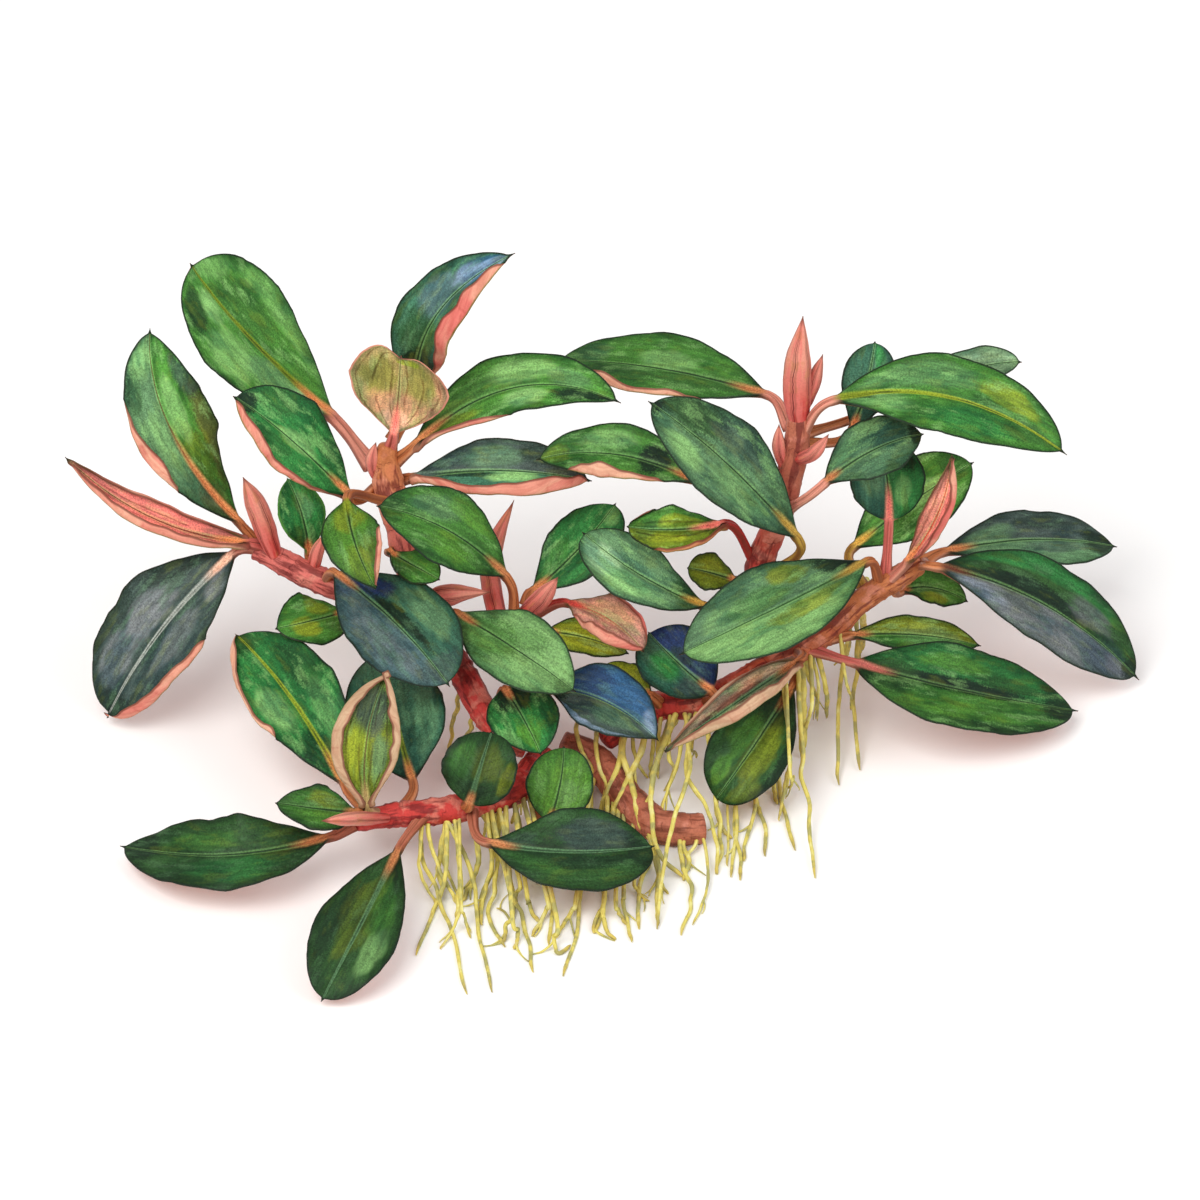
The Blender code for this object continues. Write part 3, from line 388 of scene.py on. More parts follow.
         flap_right=((0.12, 0.0), (0.25, 1.0), (0.5, 2.0), (0.75, 2.2), (0.95, 1.4), (1.0, 0.0)),
         patches=((0.5, -0.2, 0.35, 0.7, "tan", 0.5), (0.25, 0.0, 0.2, 0.5, "rust", 0.5),
                  (0.6, 0.3, 0.25, 0.5, "coral", 0.5))),
    Leaf("centre_leaf_yellow", (528, 618, 22), (545, 632, 21), (586, 638), (629, 654, 17), 7.8,
         "yellow_green", widest=0.45, arch=1.0, tone=1.8,
         patches=((0.5, 0.3, 0.3, 0.3, "olive", 0.6), (0.3, -0.5, 0.2, 0.4, "olive", 0.5))),
    Leaf("trunk_leaf_light", (450, 648, 19), (457, 614, 29), (515, 649), (576, 692, 25), 15.5,
         "light", arch=2.5, mottle=0.45, tone=0.75,
         patches=((0.25, 0.2, 0.3, 0.8, "green", 0.75), (0.55, -0.4, 0.2, 0.4, "green", 0.4),
                  (0.15, -0.7, 0.15, 0.4, "dark", 0.5), (0.92, 0.3, 0.08, 0.6, "dark", 0.5))),
    Leaf("trunk_leaf_dark", (496, 724, 12.5), (505, 690, 18), (524, 720), (541, 755, 16), 13.5,
         "emerald", widest=0.5, base_full=0.6, arch=1.0, tone=1.2,
         patches=((0.15, 0.0, 0.28, 1.0, "deep", 0.95), (0.75, 0.1, 0.2, 0.5, "bright", 0.6),
                  (0.5, -0.75, 0.3, 0.3, "deep", 0.6))),
    Leaf("trunk_leaf_blue", (512, 738, 10.5), (549, 690, 19), (604, 701), (659, 741, 14), 14.2,
         "blue", "slate", widest=0.5, tip_full=0.7, midrib="navy", tone=1.1,
         patches=((0.30, -0.45, 0.25, 0.6, "navy", 0.6),
                  (0.90, -0.35, 0.11, 0.7, "pale_blue", 0.8),
                  (0.65, 0.92, 0.30, 0.10, "pale_blue", 0.6),
                  (0.65, 0.40, 0.25, 0.35, "grey_green", 0.4), (0.1, 0.0, 0.12, 1.0, "deep", 0.9),
                  (0.32, 0.88, 0.22, 0.14, "pale_blue", 0.8))),
    # low left rhizome
    Leaf("low_left_leaf_emerald", (372, 817, 11.5), (345, 787, 13), (291, 698), (235, 634, 21),
         18.5, "emerald", wave=0.8, waves=3.0, facing=0.3, midrib="yellow_green", under="peach",
         tone=1.1,
         flap_left=((0.30, 0.0), (0.37, 1.2), (0.45, 0.9), (0.6, 0.9), (0.75, 1.4), (0.87, 2.3),
                    (0.95, 1.6), (0.99, 0.0)),
         patches=((0.47, -0.50, 0.17, 0.35, "light", 0.7), (0.62, 0.55, 0.2, 0.4, "dark", 0.6),
                  (0.18, -0.20, 0.14, 0.7, "deep", 0.55), (0.92, 0.0, 0.1, 0.8, "dark", 0.7),
                  (0.35, 0.50, 0.2, 0.3, "light", 0.3))),
    Leaf("low_left_leaf_teal", (400, 814, 10.8), (413, 782, 13), (396, 718), (385, 650, 18), 18.8,
         "teal", widest=0.5, tip_full=0.5, facing=0.3, midrib="olive", tone=1.45,
         patches=((0.88, -0.55, 0.14, 0.4, "grey_green", 0.5),
                  (0.40, 0.60, 0.3, 0.35, "grey_green", 0.5),
                  (0.20, -0.30, 0.18, 0.6, "deep", 0.6), (0.5, 0.2, 0.3, 0.2, "deep", 0.5))),
    Leaf("low_left_leaf_cupped", (380, 816, 11.3), (367, 806, 15), (367, 738), (388, 672, 32),
         14.8, "olive", widest=0.45, tip_full=0.8, fold=12, flap_turn=150, facing=0.3,
         under="beige", rim="brown", veins=0.0, stripes=5.0, midrib="brown", petiole_tint="tan",
         foot="tan", mottle=0.4, tone=1.1,
         flap_left=((0.0, 0.8), (0.1, 1.6), (0.4, 2.4), (0.7, 2.4), (0.95, 1.6), (1.0, 0.6)),
         flap_right=((0.0, 0.8), (0.1, 1.2), (0.4, 1.7), (0.7, 2.0), (0.95, 1.6), (1.0, 0.6)),
         patches=((0.72, 0.0, 0.22, 0.9, "slate", 0.8),
                  (0.40, -0.4, 0.22, 0.5, "yellow_green", 0.8),
                  (0.35, 0.45, 0.2, 0.3, "grey_green", 0.7))),
    Leaf("low_left_leaf_small", (366, 819, 11.7), (356, 813, 14.5), (318, 809), (275, 803, 18),
         9.5, "green", widest=0.45, arch=1.0, tone=0.65,
         patches=((0.4, 0.4, 0.3, 0.4, "yellow_green", 0.6),
                  (0.6, -0.4, 0.2, 0.4, "bright", 0.5))),
    Leaf("low_left_leaf_broad", (354, 824, 11.8), (331, 837, 10), (224, 855), (120, 846, 2.2),
         15.5, "dark", widest=0.5, wave=0.7, waves=3.0, arch=3.0, petiole_tint="rust", mottle=0.5,
         tone=0.9,
         patches=((0.45, -0.45, 0.25, 0.4, "emerald", 0.55), (0.6, 0.35, 0.22, 0.3, "green", 0.4),
                  (0.9, 0.0, 0.1, 1.0, "deep", 0.7), (0.2, -0.5, 0.15, 0.4, "deep", 0.5))),
    Leaf("low_left_leaf_hanging", (424, 814, 10.4), (399, 849, 10), (359, 928), (321, 1002, 1.6),
         15.5, "dark", widest=0.58, tip_full=0.5, arch=3.0, facing=0.3, midrib="grey_green",
         petiole_tint="rust", mottle=0.4, tone=0.86,
         patches=((0.22, -0.30, 0.16, 0.5, "deep", 0.75), (0.45, 0.1, 0.3, 0.5, "olive", 0.35),
                  (0.62, -0.55, 0.18, 0.3, "light", 0.55), (0.35, -0.4, 0.2, 0.4, "green", 0.6),
                  (0.55, 0.6, 0.3, 0.3, "deep", 0.6))),
    Leaf("low_left_leaf_round_dark", (462, 806, 9.3), (470, 803, 13), (480, 769), (492, 731, 23),
         14.2, "dark", widest=0.5, tip_full=0.45, base_full=0.5, arch=1.0, midrib="grey_green",
         mottle=0.3, tone=0.74,
         patches=((0.6, 0.1, 0.3, 0.6, "olive", 0.45), (0.55, -0.5, 0.3, 0.4, "green", 0.7),
                  (0.45, 0.8, 0.25, 0.25, "olive", 0.9), (0.2, 0.0, 0.15, 0.8, "deep", 0.6))),
    Leaf("low_left_leaf_round_bright", (524, 782, 8.2), (550, 822, 7.0), (560, 785),
         (564, 746, 17), 12.6, "bright", widest=0.5, tip_full=0.45, base_full=0.5, arch=0.5,
         mottle=0.35, tone=0.8,
         patches=((0.85, 0.0, 0.15, 0.8, "green", 0.6), (0.4, 0.3, 0.2, 0.4, "light", 0.35))),
    Leaf("low_left_leaf_wide", (470, 806, 9.2), (488, 843, 9.5), (572, 852), (655, 846, 8.0), 17.6,
         "dark", widest=0.58, tip_full=0.5, petiole_tint="rust", midrib="grey_green", mottle=0.35,
         tone=0.95,
         patches=((0.35, 0.1, 0.25, 0.4, "deep", 0.45), (0.65, -0.4, 0.3, 0.5, "slate", 0.8),
                  (0.28, 0.45, 0.2, 0.3, "green", 0.25), (0.15, -0.3, 0.15, 0.5, "slate", 0.4),
                  (0.9, 0.2, 0.1, 0.9, "deep", 0.7), (0.6, 0.3, 0.3, 0.2, "deep", 0.6))),
    # upright shoot
    Leaf("upright_leaf_top", (790, 428, 58), (769, 396, 62), (661, 369), (555, 361, 54), 14.8,
         "green", widest=0.5, arch=3.0, petiole_tint="salmon", under="peach", tone=0.9,
         flap_left=((0.22, 0.0), (0.30, 0.6), (0.42, 1.3), (0.52, 0.9), (0.60, 1.2), (0.70, 2.3),
                    (0.80, 2.0), (0.92, 0.8), (0.98, 0.0)),
         patches=((0.48, 0.25, 0.16, 0.3, "light", 0.55),
                  (0.85, 0.4, 0.12, 0.5, "grey_green", 0.5), (0.30, -0.3, 0.25, 0.4, "dark", 0.6),
                  (0.65, -0.3, 0.2, 0.4, "dark", 0.6), (0.15, 0.5, 0.15, 0.4, "bright", 0.5))),
    Leaf("upright_leaf_diagonal", (760, 580, 28), (797, 538, 43), (727, 464), (648, 401, 71), 17.0,
         "grey_green", tip_full=0.55, arch=3.0, foot="amber", petiole_tint="amber", tone=0.9,
         patches=((0.78, 0.50, 0.22, 0.6, "dark", 0.9), (0.50, 0.60, 0.20, 0.4, "slate", 0.6),
                  (0.72, -0.55, 0.15, 0.35, "light", 0.8), (0.38, -0.35, 0.22, 0.4, "light", 0.5),
                  (0.97, 0.0, 0.06, 1.0, "deep", 0.9), (0.2, 0.5, 0.12, 0.4, "dark", 0.4))),
    Leaf("upright_leaf_folded", (784, 492, 47), (700, 484, 53), (618, 455), (536, 460, 51), 12.6,
         "green", widest=0.5, under="peach", tone=1.1,
         flap_left=((0.12, 0.0), (0.25, 0.9), (0.4, 1.5), (0.58, 3.0), (0.68, 2.2), (0.76, 0.8),
                    (0.82, 0.0)),
         patches=((0.28, 0.1, 0.11, 1.0, "deep", 0.95), (0.58, 0.5, 0.2, 0.4, "light", 0.6),
                  (0.9, 0.0, 0.12, 0.8, "yellow_green", 0.5),
                  (0.78, -0.5, 0.15, 0.3, "dark", 0.5))),
    Leaf("upright_leaf_large", (798, 440, 57), (832, 401, 66), (951, 398), (1067, 455, 60), 17.0,
         "green", arch=3.0, midrib="yellow_green", petiole_tint="salmon", foot="olive", tone=1.08,
         patches=((0.15, 0.35, 0.22, 0.5, "light", 0.55), (0.62, 0.5, 0.25, 0.4, "emerald", 0.8),
                  (0.35, -0.5, 0.30, 0.4, "grey_green", 0.5),
                  (0.72, -0.5, 0.15, 0.35, "yellow_green", 0.6),
                  (0.12, 0.1, 0.10, 0.25, "deep", 0.7), (0.85, 0.2, 0.12, 0.5, "dark", 0.6))),
    Leaf("upright_leaf_teal", (797, 445, 56), (852, 430, 55), (867, 386), (875, 341, 68), 10.0,
         "teal", widest=0.6, tip_full=0.5, arch=1.0, tone=1.45,
         patches=((0.8, 0.4, 0.2, 0.4, "emerald", 0.8),)),
    Leaf("upright_leaf_back", (798, 436, 57), (872, 410, 56), (955, 374), (1022, 362, 62), 8.5,
         "pale", widest=0.6, tip_full=0.5, arch=1.0, tone=0.8,
         patches=((0.75, 0.3, 0.3, 0.8, "grey_green", 0.6),)),
    Leaf("upright_leaf_short", (784, 512, 43), (824, 484, 54), (872, 451), (924, 434, 59), 12.5,
         "grey_green", widest=0.55, arch=1.0, petiole_tint="salmon", tone=0.95,
         patches=((0.7, -0.3, 0.2, 0.6, "teal", 0.85), (0.4, 0.5, 0.3, 0.4, "teal", 0.4),
                  (0.93, 0.0, 0.08, 1.0, "deep", 0.8), (0.3, -0.5, 0.2, 0.3, "light", 0.4))),
    Leaf("upright_leaf_pale", (752, 620, 22), (706, 607, 27), (640, 575), (582, 532, 40), 13.0,
         "grey_green", widest=0.6, tip_full=0.48, foot="amber", tone=1.3,
         patches=((0.80, -0.3, 0.2, 0.6, "pale", 0.6), (0.55, -0.5, 0.2, 0.4, "light", 0.6),
                  (0.15, 0.2, 0.15, 0.9, "dark", 0.8), (0.6, 0.15, 0.2, 0.2, "teal", 0.7))),
    Leaf("upright_leaf_rimmed", (757, 566, 30), (723, 524, 42), (673, 530), (627, 527, 43), 11.4,
         "olive", "green", widest=0.5, under="orange", foot="coral", foot_reach=0.4,
         petiole_tint="red", stripes=3.0, veins=0.1, tone=1.5,
         flap_left=((0.0, 0.6), (0.3, 1.0), (0.6, 0.8), (0.72, 0.0)),
         flap_right=((0.68, 0.0), (0.8, 0.8), (0.95, 0.8), (1.0, 0.2)),
         patches=((0.4, 0.3, 0.3, 0.4, "yellow_green", 0.6), (0.8, 0.0, 0.15, 0.8, "dark", 0.6),
                  (0.35, -0.6, 0.25, 0.3, "yellow_green", 0.7))),
    Leaf("upright_leaf_olive", (755, 582, 27.5), (737, 581, 31), (710, 573), (687, 568, 34), 8.0,
         "olive", widest=0.55, tip_full=0.5, arch=0.5, mottle=0.3, veins=0.1,
         patches=((0.5, 0.4, 0.3, 0.4, "yellow_green", 0.6),)),
    # right stem
    Leaf("right_leaf_heart", (885, 582, 26.5), (889, 520, 40), (887, 478), (879, 438, 53), 14.2,
         "teal", "emerald", widest=0.48, base_full=0.55, tip_full=0.55, arch=1.0, foot="coral",
         foot_reach=0.5, petiole_tint="coral", tone=1.2,
         patches=((0.55, -0.4, 0.3, 0.4, "grey_green", 0.6), (0.75, 0.6, 0.25, 0.4, "deep", 0.9),
                  (0.35, 0.4, 0.2, 0.3, "light", 0.4))),
    Leaf("right_leaf_back", (866, 594, 25), (853, 548, 30), (914, 501), (974, 462, 44), 15.5,
         "green", widest=0.55, tip_full=0.55, arch=1.0, petiole_tint="amber", foot="amber",
         tone=2.0,
         patches=((0.55, 0.0, 0.25, 0.35, "light", 0.7), (0.3, 0.5, 0.25, 0.4, "dark", 0.5),
                  (0.88, -0.2, 0.14, 0.8, "dark", 0.6))),
    Leaf("right_leaf_rolled", (880, 588, 26), (908, 562, 32), (939, 512), (952, 455, 57), 6.2,
         "coral", widest=0.5, base_full=0.5, tip_full=0.9, curl_left=60, flap_turn=125, fold=15,
         arch=1.0, midrib="red", rim="brown", veins=0.0, stripes=2.0, petiole_tint="salmon",
         mottle=0.3, under="coral", tone=1.5,
         flap_right=((0.1, 0.4), (0.45, 1.5), (0.8, 1.6), (0.95, 0.7), (1.0, 0.0)),
         patches=((0.5, -0.3, 0.5, 0.6, "salmon", 0.7), (0.93, 0.0, 0.08, 1.0, "bark", 0.8))),
    Leaf("right_leaf_grey_green", (922, 563, 28.5), (941, 553, 28), (1031, 540), (1117, 547, 14),
         12.8, "slate", "grey_green", widest=0.55, tone=1.3,
         patches=((0.90, 0.0, 0.13, 1.0, "deep", 0.9), (0.25, -0.3, 0.2, 0.5, "grey_green", 0.7),
                  (0.6, -0.6, 0.2, 0.3, "deep", 0.5), (0.6, 0.3, 0.25, 0.3, "slate", 0.6))),
    Leaf("right_leaf_grey", (922, 564, 28.5), (936, 567, 33), (1044, 605), (1139, 680, 2.0), 18.2,
         "dark", "violet_grey", tip_full=0.55, arch=3.0, foot="bark", tone=0.98,
         patches=((0.45, -0.80, 0.40, 0.28, "emerald", 0.95),
                  (0.42, -0.2, 0.35, 0.25, "deep", 0.95),
                  (0.70, -0.4, 0.14, 0.3, "violet_grey", 0.5),
                  (0.18, 0.55, 0.16, 0.4, "pale_blue", 0.25), (0.85, 0.3, 0.14, 0.7, "navy", 0.3),
                  (0.96, 0.0, 0.06, 1.0, "deep", 0.9), (0.4, 0.25, 0.15, 0.25, "slate", 0.6))),
    Leaf("right_leaf_small", (893, 582, 26.8), (900, 592, 22), (932, 588), (968, 602, 17), 8.0,
         "green", widest=0.5, arch=1.0, tone=1.2,
         patches=((0.5, 0.6, 0.3, 0.4, "yellow_green", 0.7),)),
    Leaf("right_leaf_olive", (822, 640, 19.5), (848, 636, 20), (915, 635), (981, 646, 13), 8.0,
         "olive", "green", widest=0.55, arch=1.0, tone=1.2,
         patches=((0.6, 0.0, 0.3, 0.8, "grey_green", 0.4),
                  (0.35, -0.5, 0.3, 0.3, "yellow_green", 0.4))),
    Leaf("right_leaf_low", (806, 648, 18.5), (854, 663, 18), (965, 691), (1078, 711, 3.0), 17.8,
         "emerald", "green", widest=0.5, base_full=0.75, tip_full=0.55, arch=3.0,
         petiole_tint="coral", foot="coral", mottle=0.65, tone=0.74,
         patches=((0.42, -0.08, 0.50, 0.20, "deep", 0.95), (0.15, 0.1, 0.15, 0.8, "dark", 0.8),
                  (0.45, -0.55, 0.2, 0.25, "bright", 0.6), (0.45, 0.55, 0.25, 0.25, "bright", 0.5),
                  (0.92, 0.0, 0.1, 1.0, "deep", 0.8), (0.6, 0.85, 0.3, 0.15, "dark", 0.7),
                  (0.7, -0.35, 0.2, 0.2, "dark", 0.6))),
    Leaf("right_leaf_dark", (792, 656, 17), (793, 686, 14), (752, 749), (715, 801, 4.0), 15.0,
         "dark", widest=0.58, tip_full=0.5, facing=0.4, arch=3.0, mottle=0.3, tone=1.1,
         patches=((0.55, -0.95, 0.4, 0.25, "deep", 0.8), (0.50, -0.25, 0.30, 0.45, "olive", 0.75),
                  (0.75, 0.45, 0.15, 0.3, "bright", 0.5), (0.45, 0.35, 0.25, 0.35, "bright", 0.35),
                  (0.15, 0.0, 0.18, 1.0, "deep", 0.7), (0.8, -0.6, 0.15, 0.4, "olive", 0.5))),
    Leaf("right_leaf_tan", (800, 652, 18), (797, 662, 22), (735, 704), (665, 752, 18), 8.4,
         "beige", widest=0.42, base_full=0.7, tip_full=0.9, flap_turn=115, fold=15, arch=1.0,
         midrib="grey_green", under="beige", rim="brown", veins=0.0, stripes=3.0, tone=1.05,
         flap_left=((0.0, 0.6), (0.15, 1.5), (0.5, 2.5), (0.75, 1.9), (0.9, 1.1), (1.0, 0.3)),
         flap_right=((0.0, 0.5), (0.2, 1.1), (0.5, 1.7), (0.8, 1.4), (1.0, 0.3)),
         patches=((0.5, 0.1, 0.35, 0.4, "bark", 0.85), (0.5, 0.45, 0.3, 0.3, "rust", 0.5),
                  (0.14, -0.2, 0.16, 0.6, "grey_green", 0.7))),
    Leaf("right_leaf_light", (880, 584, 26.5), (867, 562, 34), (775, 609), (679, 655, 29), 18.0,
         "light", "grey_green", tip_full=0.55, arch=3.0, midrib="dark", foot="amber", tone=0.85,
         patches=((0.12, 0.60, 0.13, 0.5, "deep", 0.9),
                  (0.36, 0.62, 0.12, 0.3, "yellow_green", 0.7),
                  (0.72, 0.35, 0.16, 0.4, "light", 0.4),
                  (0.36, -0.30, 0.24, 0.22, "yellow_green", 0.7),
                  (0.15, -0.15, 0.14, 0.35, "dark", 0.5), (0.55, 0.3, 0.2, 0.3, "green", 0.5))),
    Leaf("right_leaf_navy", (700, 703, 12), (712, 692, 17), (677, 662), (648, 632, 23), 15.5,
         "teal", "navy", widest=0.5, base_full=0.6, tip_full=0.5, fold=12, arch=0.5, tone=1.4,
         patches=((0.55, -0.35, 0.25, 0.5, "emerald", 0.9), (0.15, -0.4, 0.2, 0.7, "slate", 0.9),
                  (0.5, 0.2, 0.2, 0.2, "deep", 0.7))),
    Leaf("right_leaf_yellow", (662, 707, 10.5), (652, 696, 15), (628, 680), (604, 664, 17), 7.0,
         "yellow_green", widest=0.5, arch=0.5, mottle=0.3, tone=1.3,
         patches=((0.4, 0.4, 0.3, 0.4, "olive", 0.5),)),
]


@dataclass
class Stem:
    """One stem: its path as (pixel x, pixel y, height, radius), spikes and roots."""

    name: str
    path: list
    start_tint: str
    end_tint: str
    slot: str
    scars: float = 0.07
    spikes: tuple = ()
    roots: tuple = ()
    torn: bool = False


STEMS = [
    Stem("old_rhizome",
         [(703, 828, 2.3, 2.7), (682, 829, 2.6, 3.1), (655, 824, 2.7, 3.2), (628, 800, 2.9, 3.2),
          (607, 772, 3.8, 3.1), (584, 753, 5.4, 2.9), (560, 744, 7.0, 2.6)],
         "rust", "rust", "old_rhizome", scars=0.05, torn=True,
         roots=(((600, 765, 4), (585, 830, 2), (580, 915, 0.4), (563, 976, 0.4)),
                ((618, 790, 4), (600, 850, 2), (604, 896, 0.4), (594, 933, 0.4)),
                ((636, 808, 3), (652, 852, 1), (640, 890, 0.4), (639, 929, 0.4)),
                ((680, 828, 3), (683, 868, 1), (692, 900, 0.4), (681, 935, 0.4)))),
    Stem("low_left_rhizome",
         [(545, 756, 7.2, 2.4), (530, 772, 7.8, 2.6), (512, 792, 8.4, 2.6), (470, 806, 9.2, 2.5),
          (430, 812, 10.2, 2.5), (395, 815, 11.0, 2.3), (352, 822, 11.8, 1.8)],
         "red", "red", "stem_red",
         spikes=(((386, 818, 12.0), (352, 819, 20.0), (321, 821, 23.5), 1.3),),
         roots=(((424, 814, 10), (421, 850, 5), (445, 915, 1), (467, 994, 0.4)),
                ((440, 812, 10), (468, 862, 5), (476, 915, 1), (492, 992, 0.4)),
                ((452, 809, 9), (440, 850, 5), (439, 894, 1), (416, 955, 0.4)),
                ((486, 802, 9), (510, 880, 3), (524, 925, 0.5), (533, 972, 0.4)),
                ((478, 804, 9), (493, 850, 4), (480, 900, 0.5), (482, 925, 0.4)),
                ((500, 797, 9), (497, 870, 3), (489, 915, 0.5), (505, 947, 0.4)),
                ((510, 793, 8), (526, 850, 2.5), (552, 905, 0.5), (549, 945, 0.4)))),
    Stem("left_stem",
         [(527, 746, 9.6, 2.4), (508, 738, 11.0, 2.5), (486, 715, 14.0, 2.6),
          (464, 676, 18.0, 2.6), (440, 643, 20.5, 2.5), (390, 610, 23.5, 2.4),
          (322, 581, 27.0, 2.5), (285, 563, 29.5, 2.4), (254, 547, 31.5, 1.9)],
         "red", "coral", "stem_red",
         spikes=(((275, 556, 31.0), (258, 510, 40.0), (243, 477, 46.0), 2.1),
                 ((312, 575, 28.0), (317, 553, 32.0), (324, 534, 36.0), 1.3),
                 ((424, 632, 21.5), (440, 598, 28.0), (491, 592, 32.0), 2.2)),
         roots=(((462, 674, 18), (458, 700, 12), (452, 725, 4), (449, 752, 0.4)),
                ((480, 706, 15), (472, 722, 10), (466, 745, 3), (464, 768, 0.4)),
                ((400, 614, 23), (396, 606, 16), (388, 600, 5), (380, 602, 0.4)),
                ((345, 590, 26), (342, 600, 17), (335, 612, 5), (338, 622, 0.4)))),
    Stem("centre_shoot",
         [(493, 670, 21.0, 1.8), (499, 653, 21.6, 2.1), (510, 632, 23.0, 2.2),
          (523, 611, 25.0, 2.0)],
         "red", "red", "stem_red",
         spikes=(((525, 612, 25.0), (542, 598, 30.0), (558, 577, 35.0), 1.8),
                 ((504, 642, 22.3), (490, 566, 29.0), (514, 500, 42.0), 1.9)),
         roots=(((508, 634, 22), (520, 624, 16), (530, 618, 5), (540, 622, 0.4)),)),
    Stem("upper_left_shoot",
         [(412, 594, 27.8, 2.1), (406, 565, 31.0, 2.2), (397, 520, 37.0, 2.6),
          (389, 488, 42.0, 3.0), (386, 462, 46.5, 2.4), (389, 443, 50.0, 1.7)],
         "coral", "orange", "stem_orange", scars=0.04,
         spikes=(((382, 484, 42.0), (372, 462, 47.0), (376, 442, 51.0), 1.3),)),
    Stem("upright_shoot",
         [(742, 657, 18.5, 2.1), (748, 630, 21.5, 2.3), (756, 590, 27.0, 2.6),
          (760, 563, 31.0, 2.6), (776, 522, 40.0, 2.5), (789, 480, 49.0, 2.6),
          (797, 440, 57.0, 2.4), (799, 410, 63.0, 2.2)],
         "red", "rust", "stem_red", scars=0.04,
         spikes=(((799, 425, 60.0), (797, 375, 71.0), (803, 316, 84.0), 2.6),
                 ((800, 413, 62.0), (812, 385, 67.5), (823, 354, 75.0), 1.5),
                 ((796, 460, 53.5), (814, 453, 58.0), (829, 434, 62.5), 1.3),
                 ((787, 470, 51.0), (779, 448, 56.0), (779, 424, 61.0), 1.3))),
    Stem("right_stem",
         [(604, 742, 7.0, 1.9), (630, 722, 9.0, 2.4), (660, 706, 10.8, 2.8),
          (700, 703, 12.2, 2.6), (742, 682, 14.2, 2.4), (790, 655, 17.3, 2.4),
          (830, 630, 20.8, 2.3), (860, 602, 24.3, 2.3), (892, 581, 26.8, 2.3),
          (922, 563, 28.5, 1.7)],
         "red", "orange", "stem_orange",
         roots=(((684, 705, 11), (690, 770, 10), (668, 842, 6), (657, 929, 0.4)),
                ((702, 704, 12), (714, 780, 6), (720, 840, 1.0), (716, 874, 0.4)),
                ((722, 694, 13), (728, 740, 3), (738, 830, 0.5), (740, 880, 0.4)),
                ((742, 684, 14), (752, 770, 1), (762, 815, 0.4), (765, 856, 0.4)),
                ((762, 672, 15), (776, 740, 2), (782, 800, 0.5), (795, 850, 0.4)),
                ((800, 650, 18), (801, 740, 10), (808, 810, 3), (815, 878, 0.4)),
                ((836, 626, 20), (842, 655, 13), (838, 720, 5), (839, 785, 0.4)),
                ((852, 610, 23), (857, 640, 16), (853, 705, 6), (860, 770, 0.4)),
                ((870, 596, 25), (872, 586, 17), (868, 580, 5), (862, 578, 0.4)))),
]


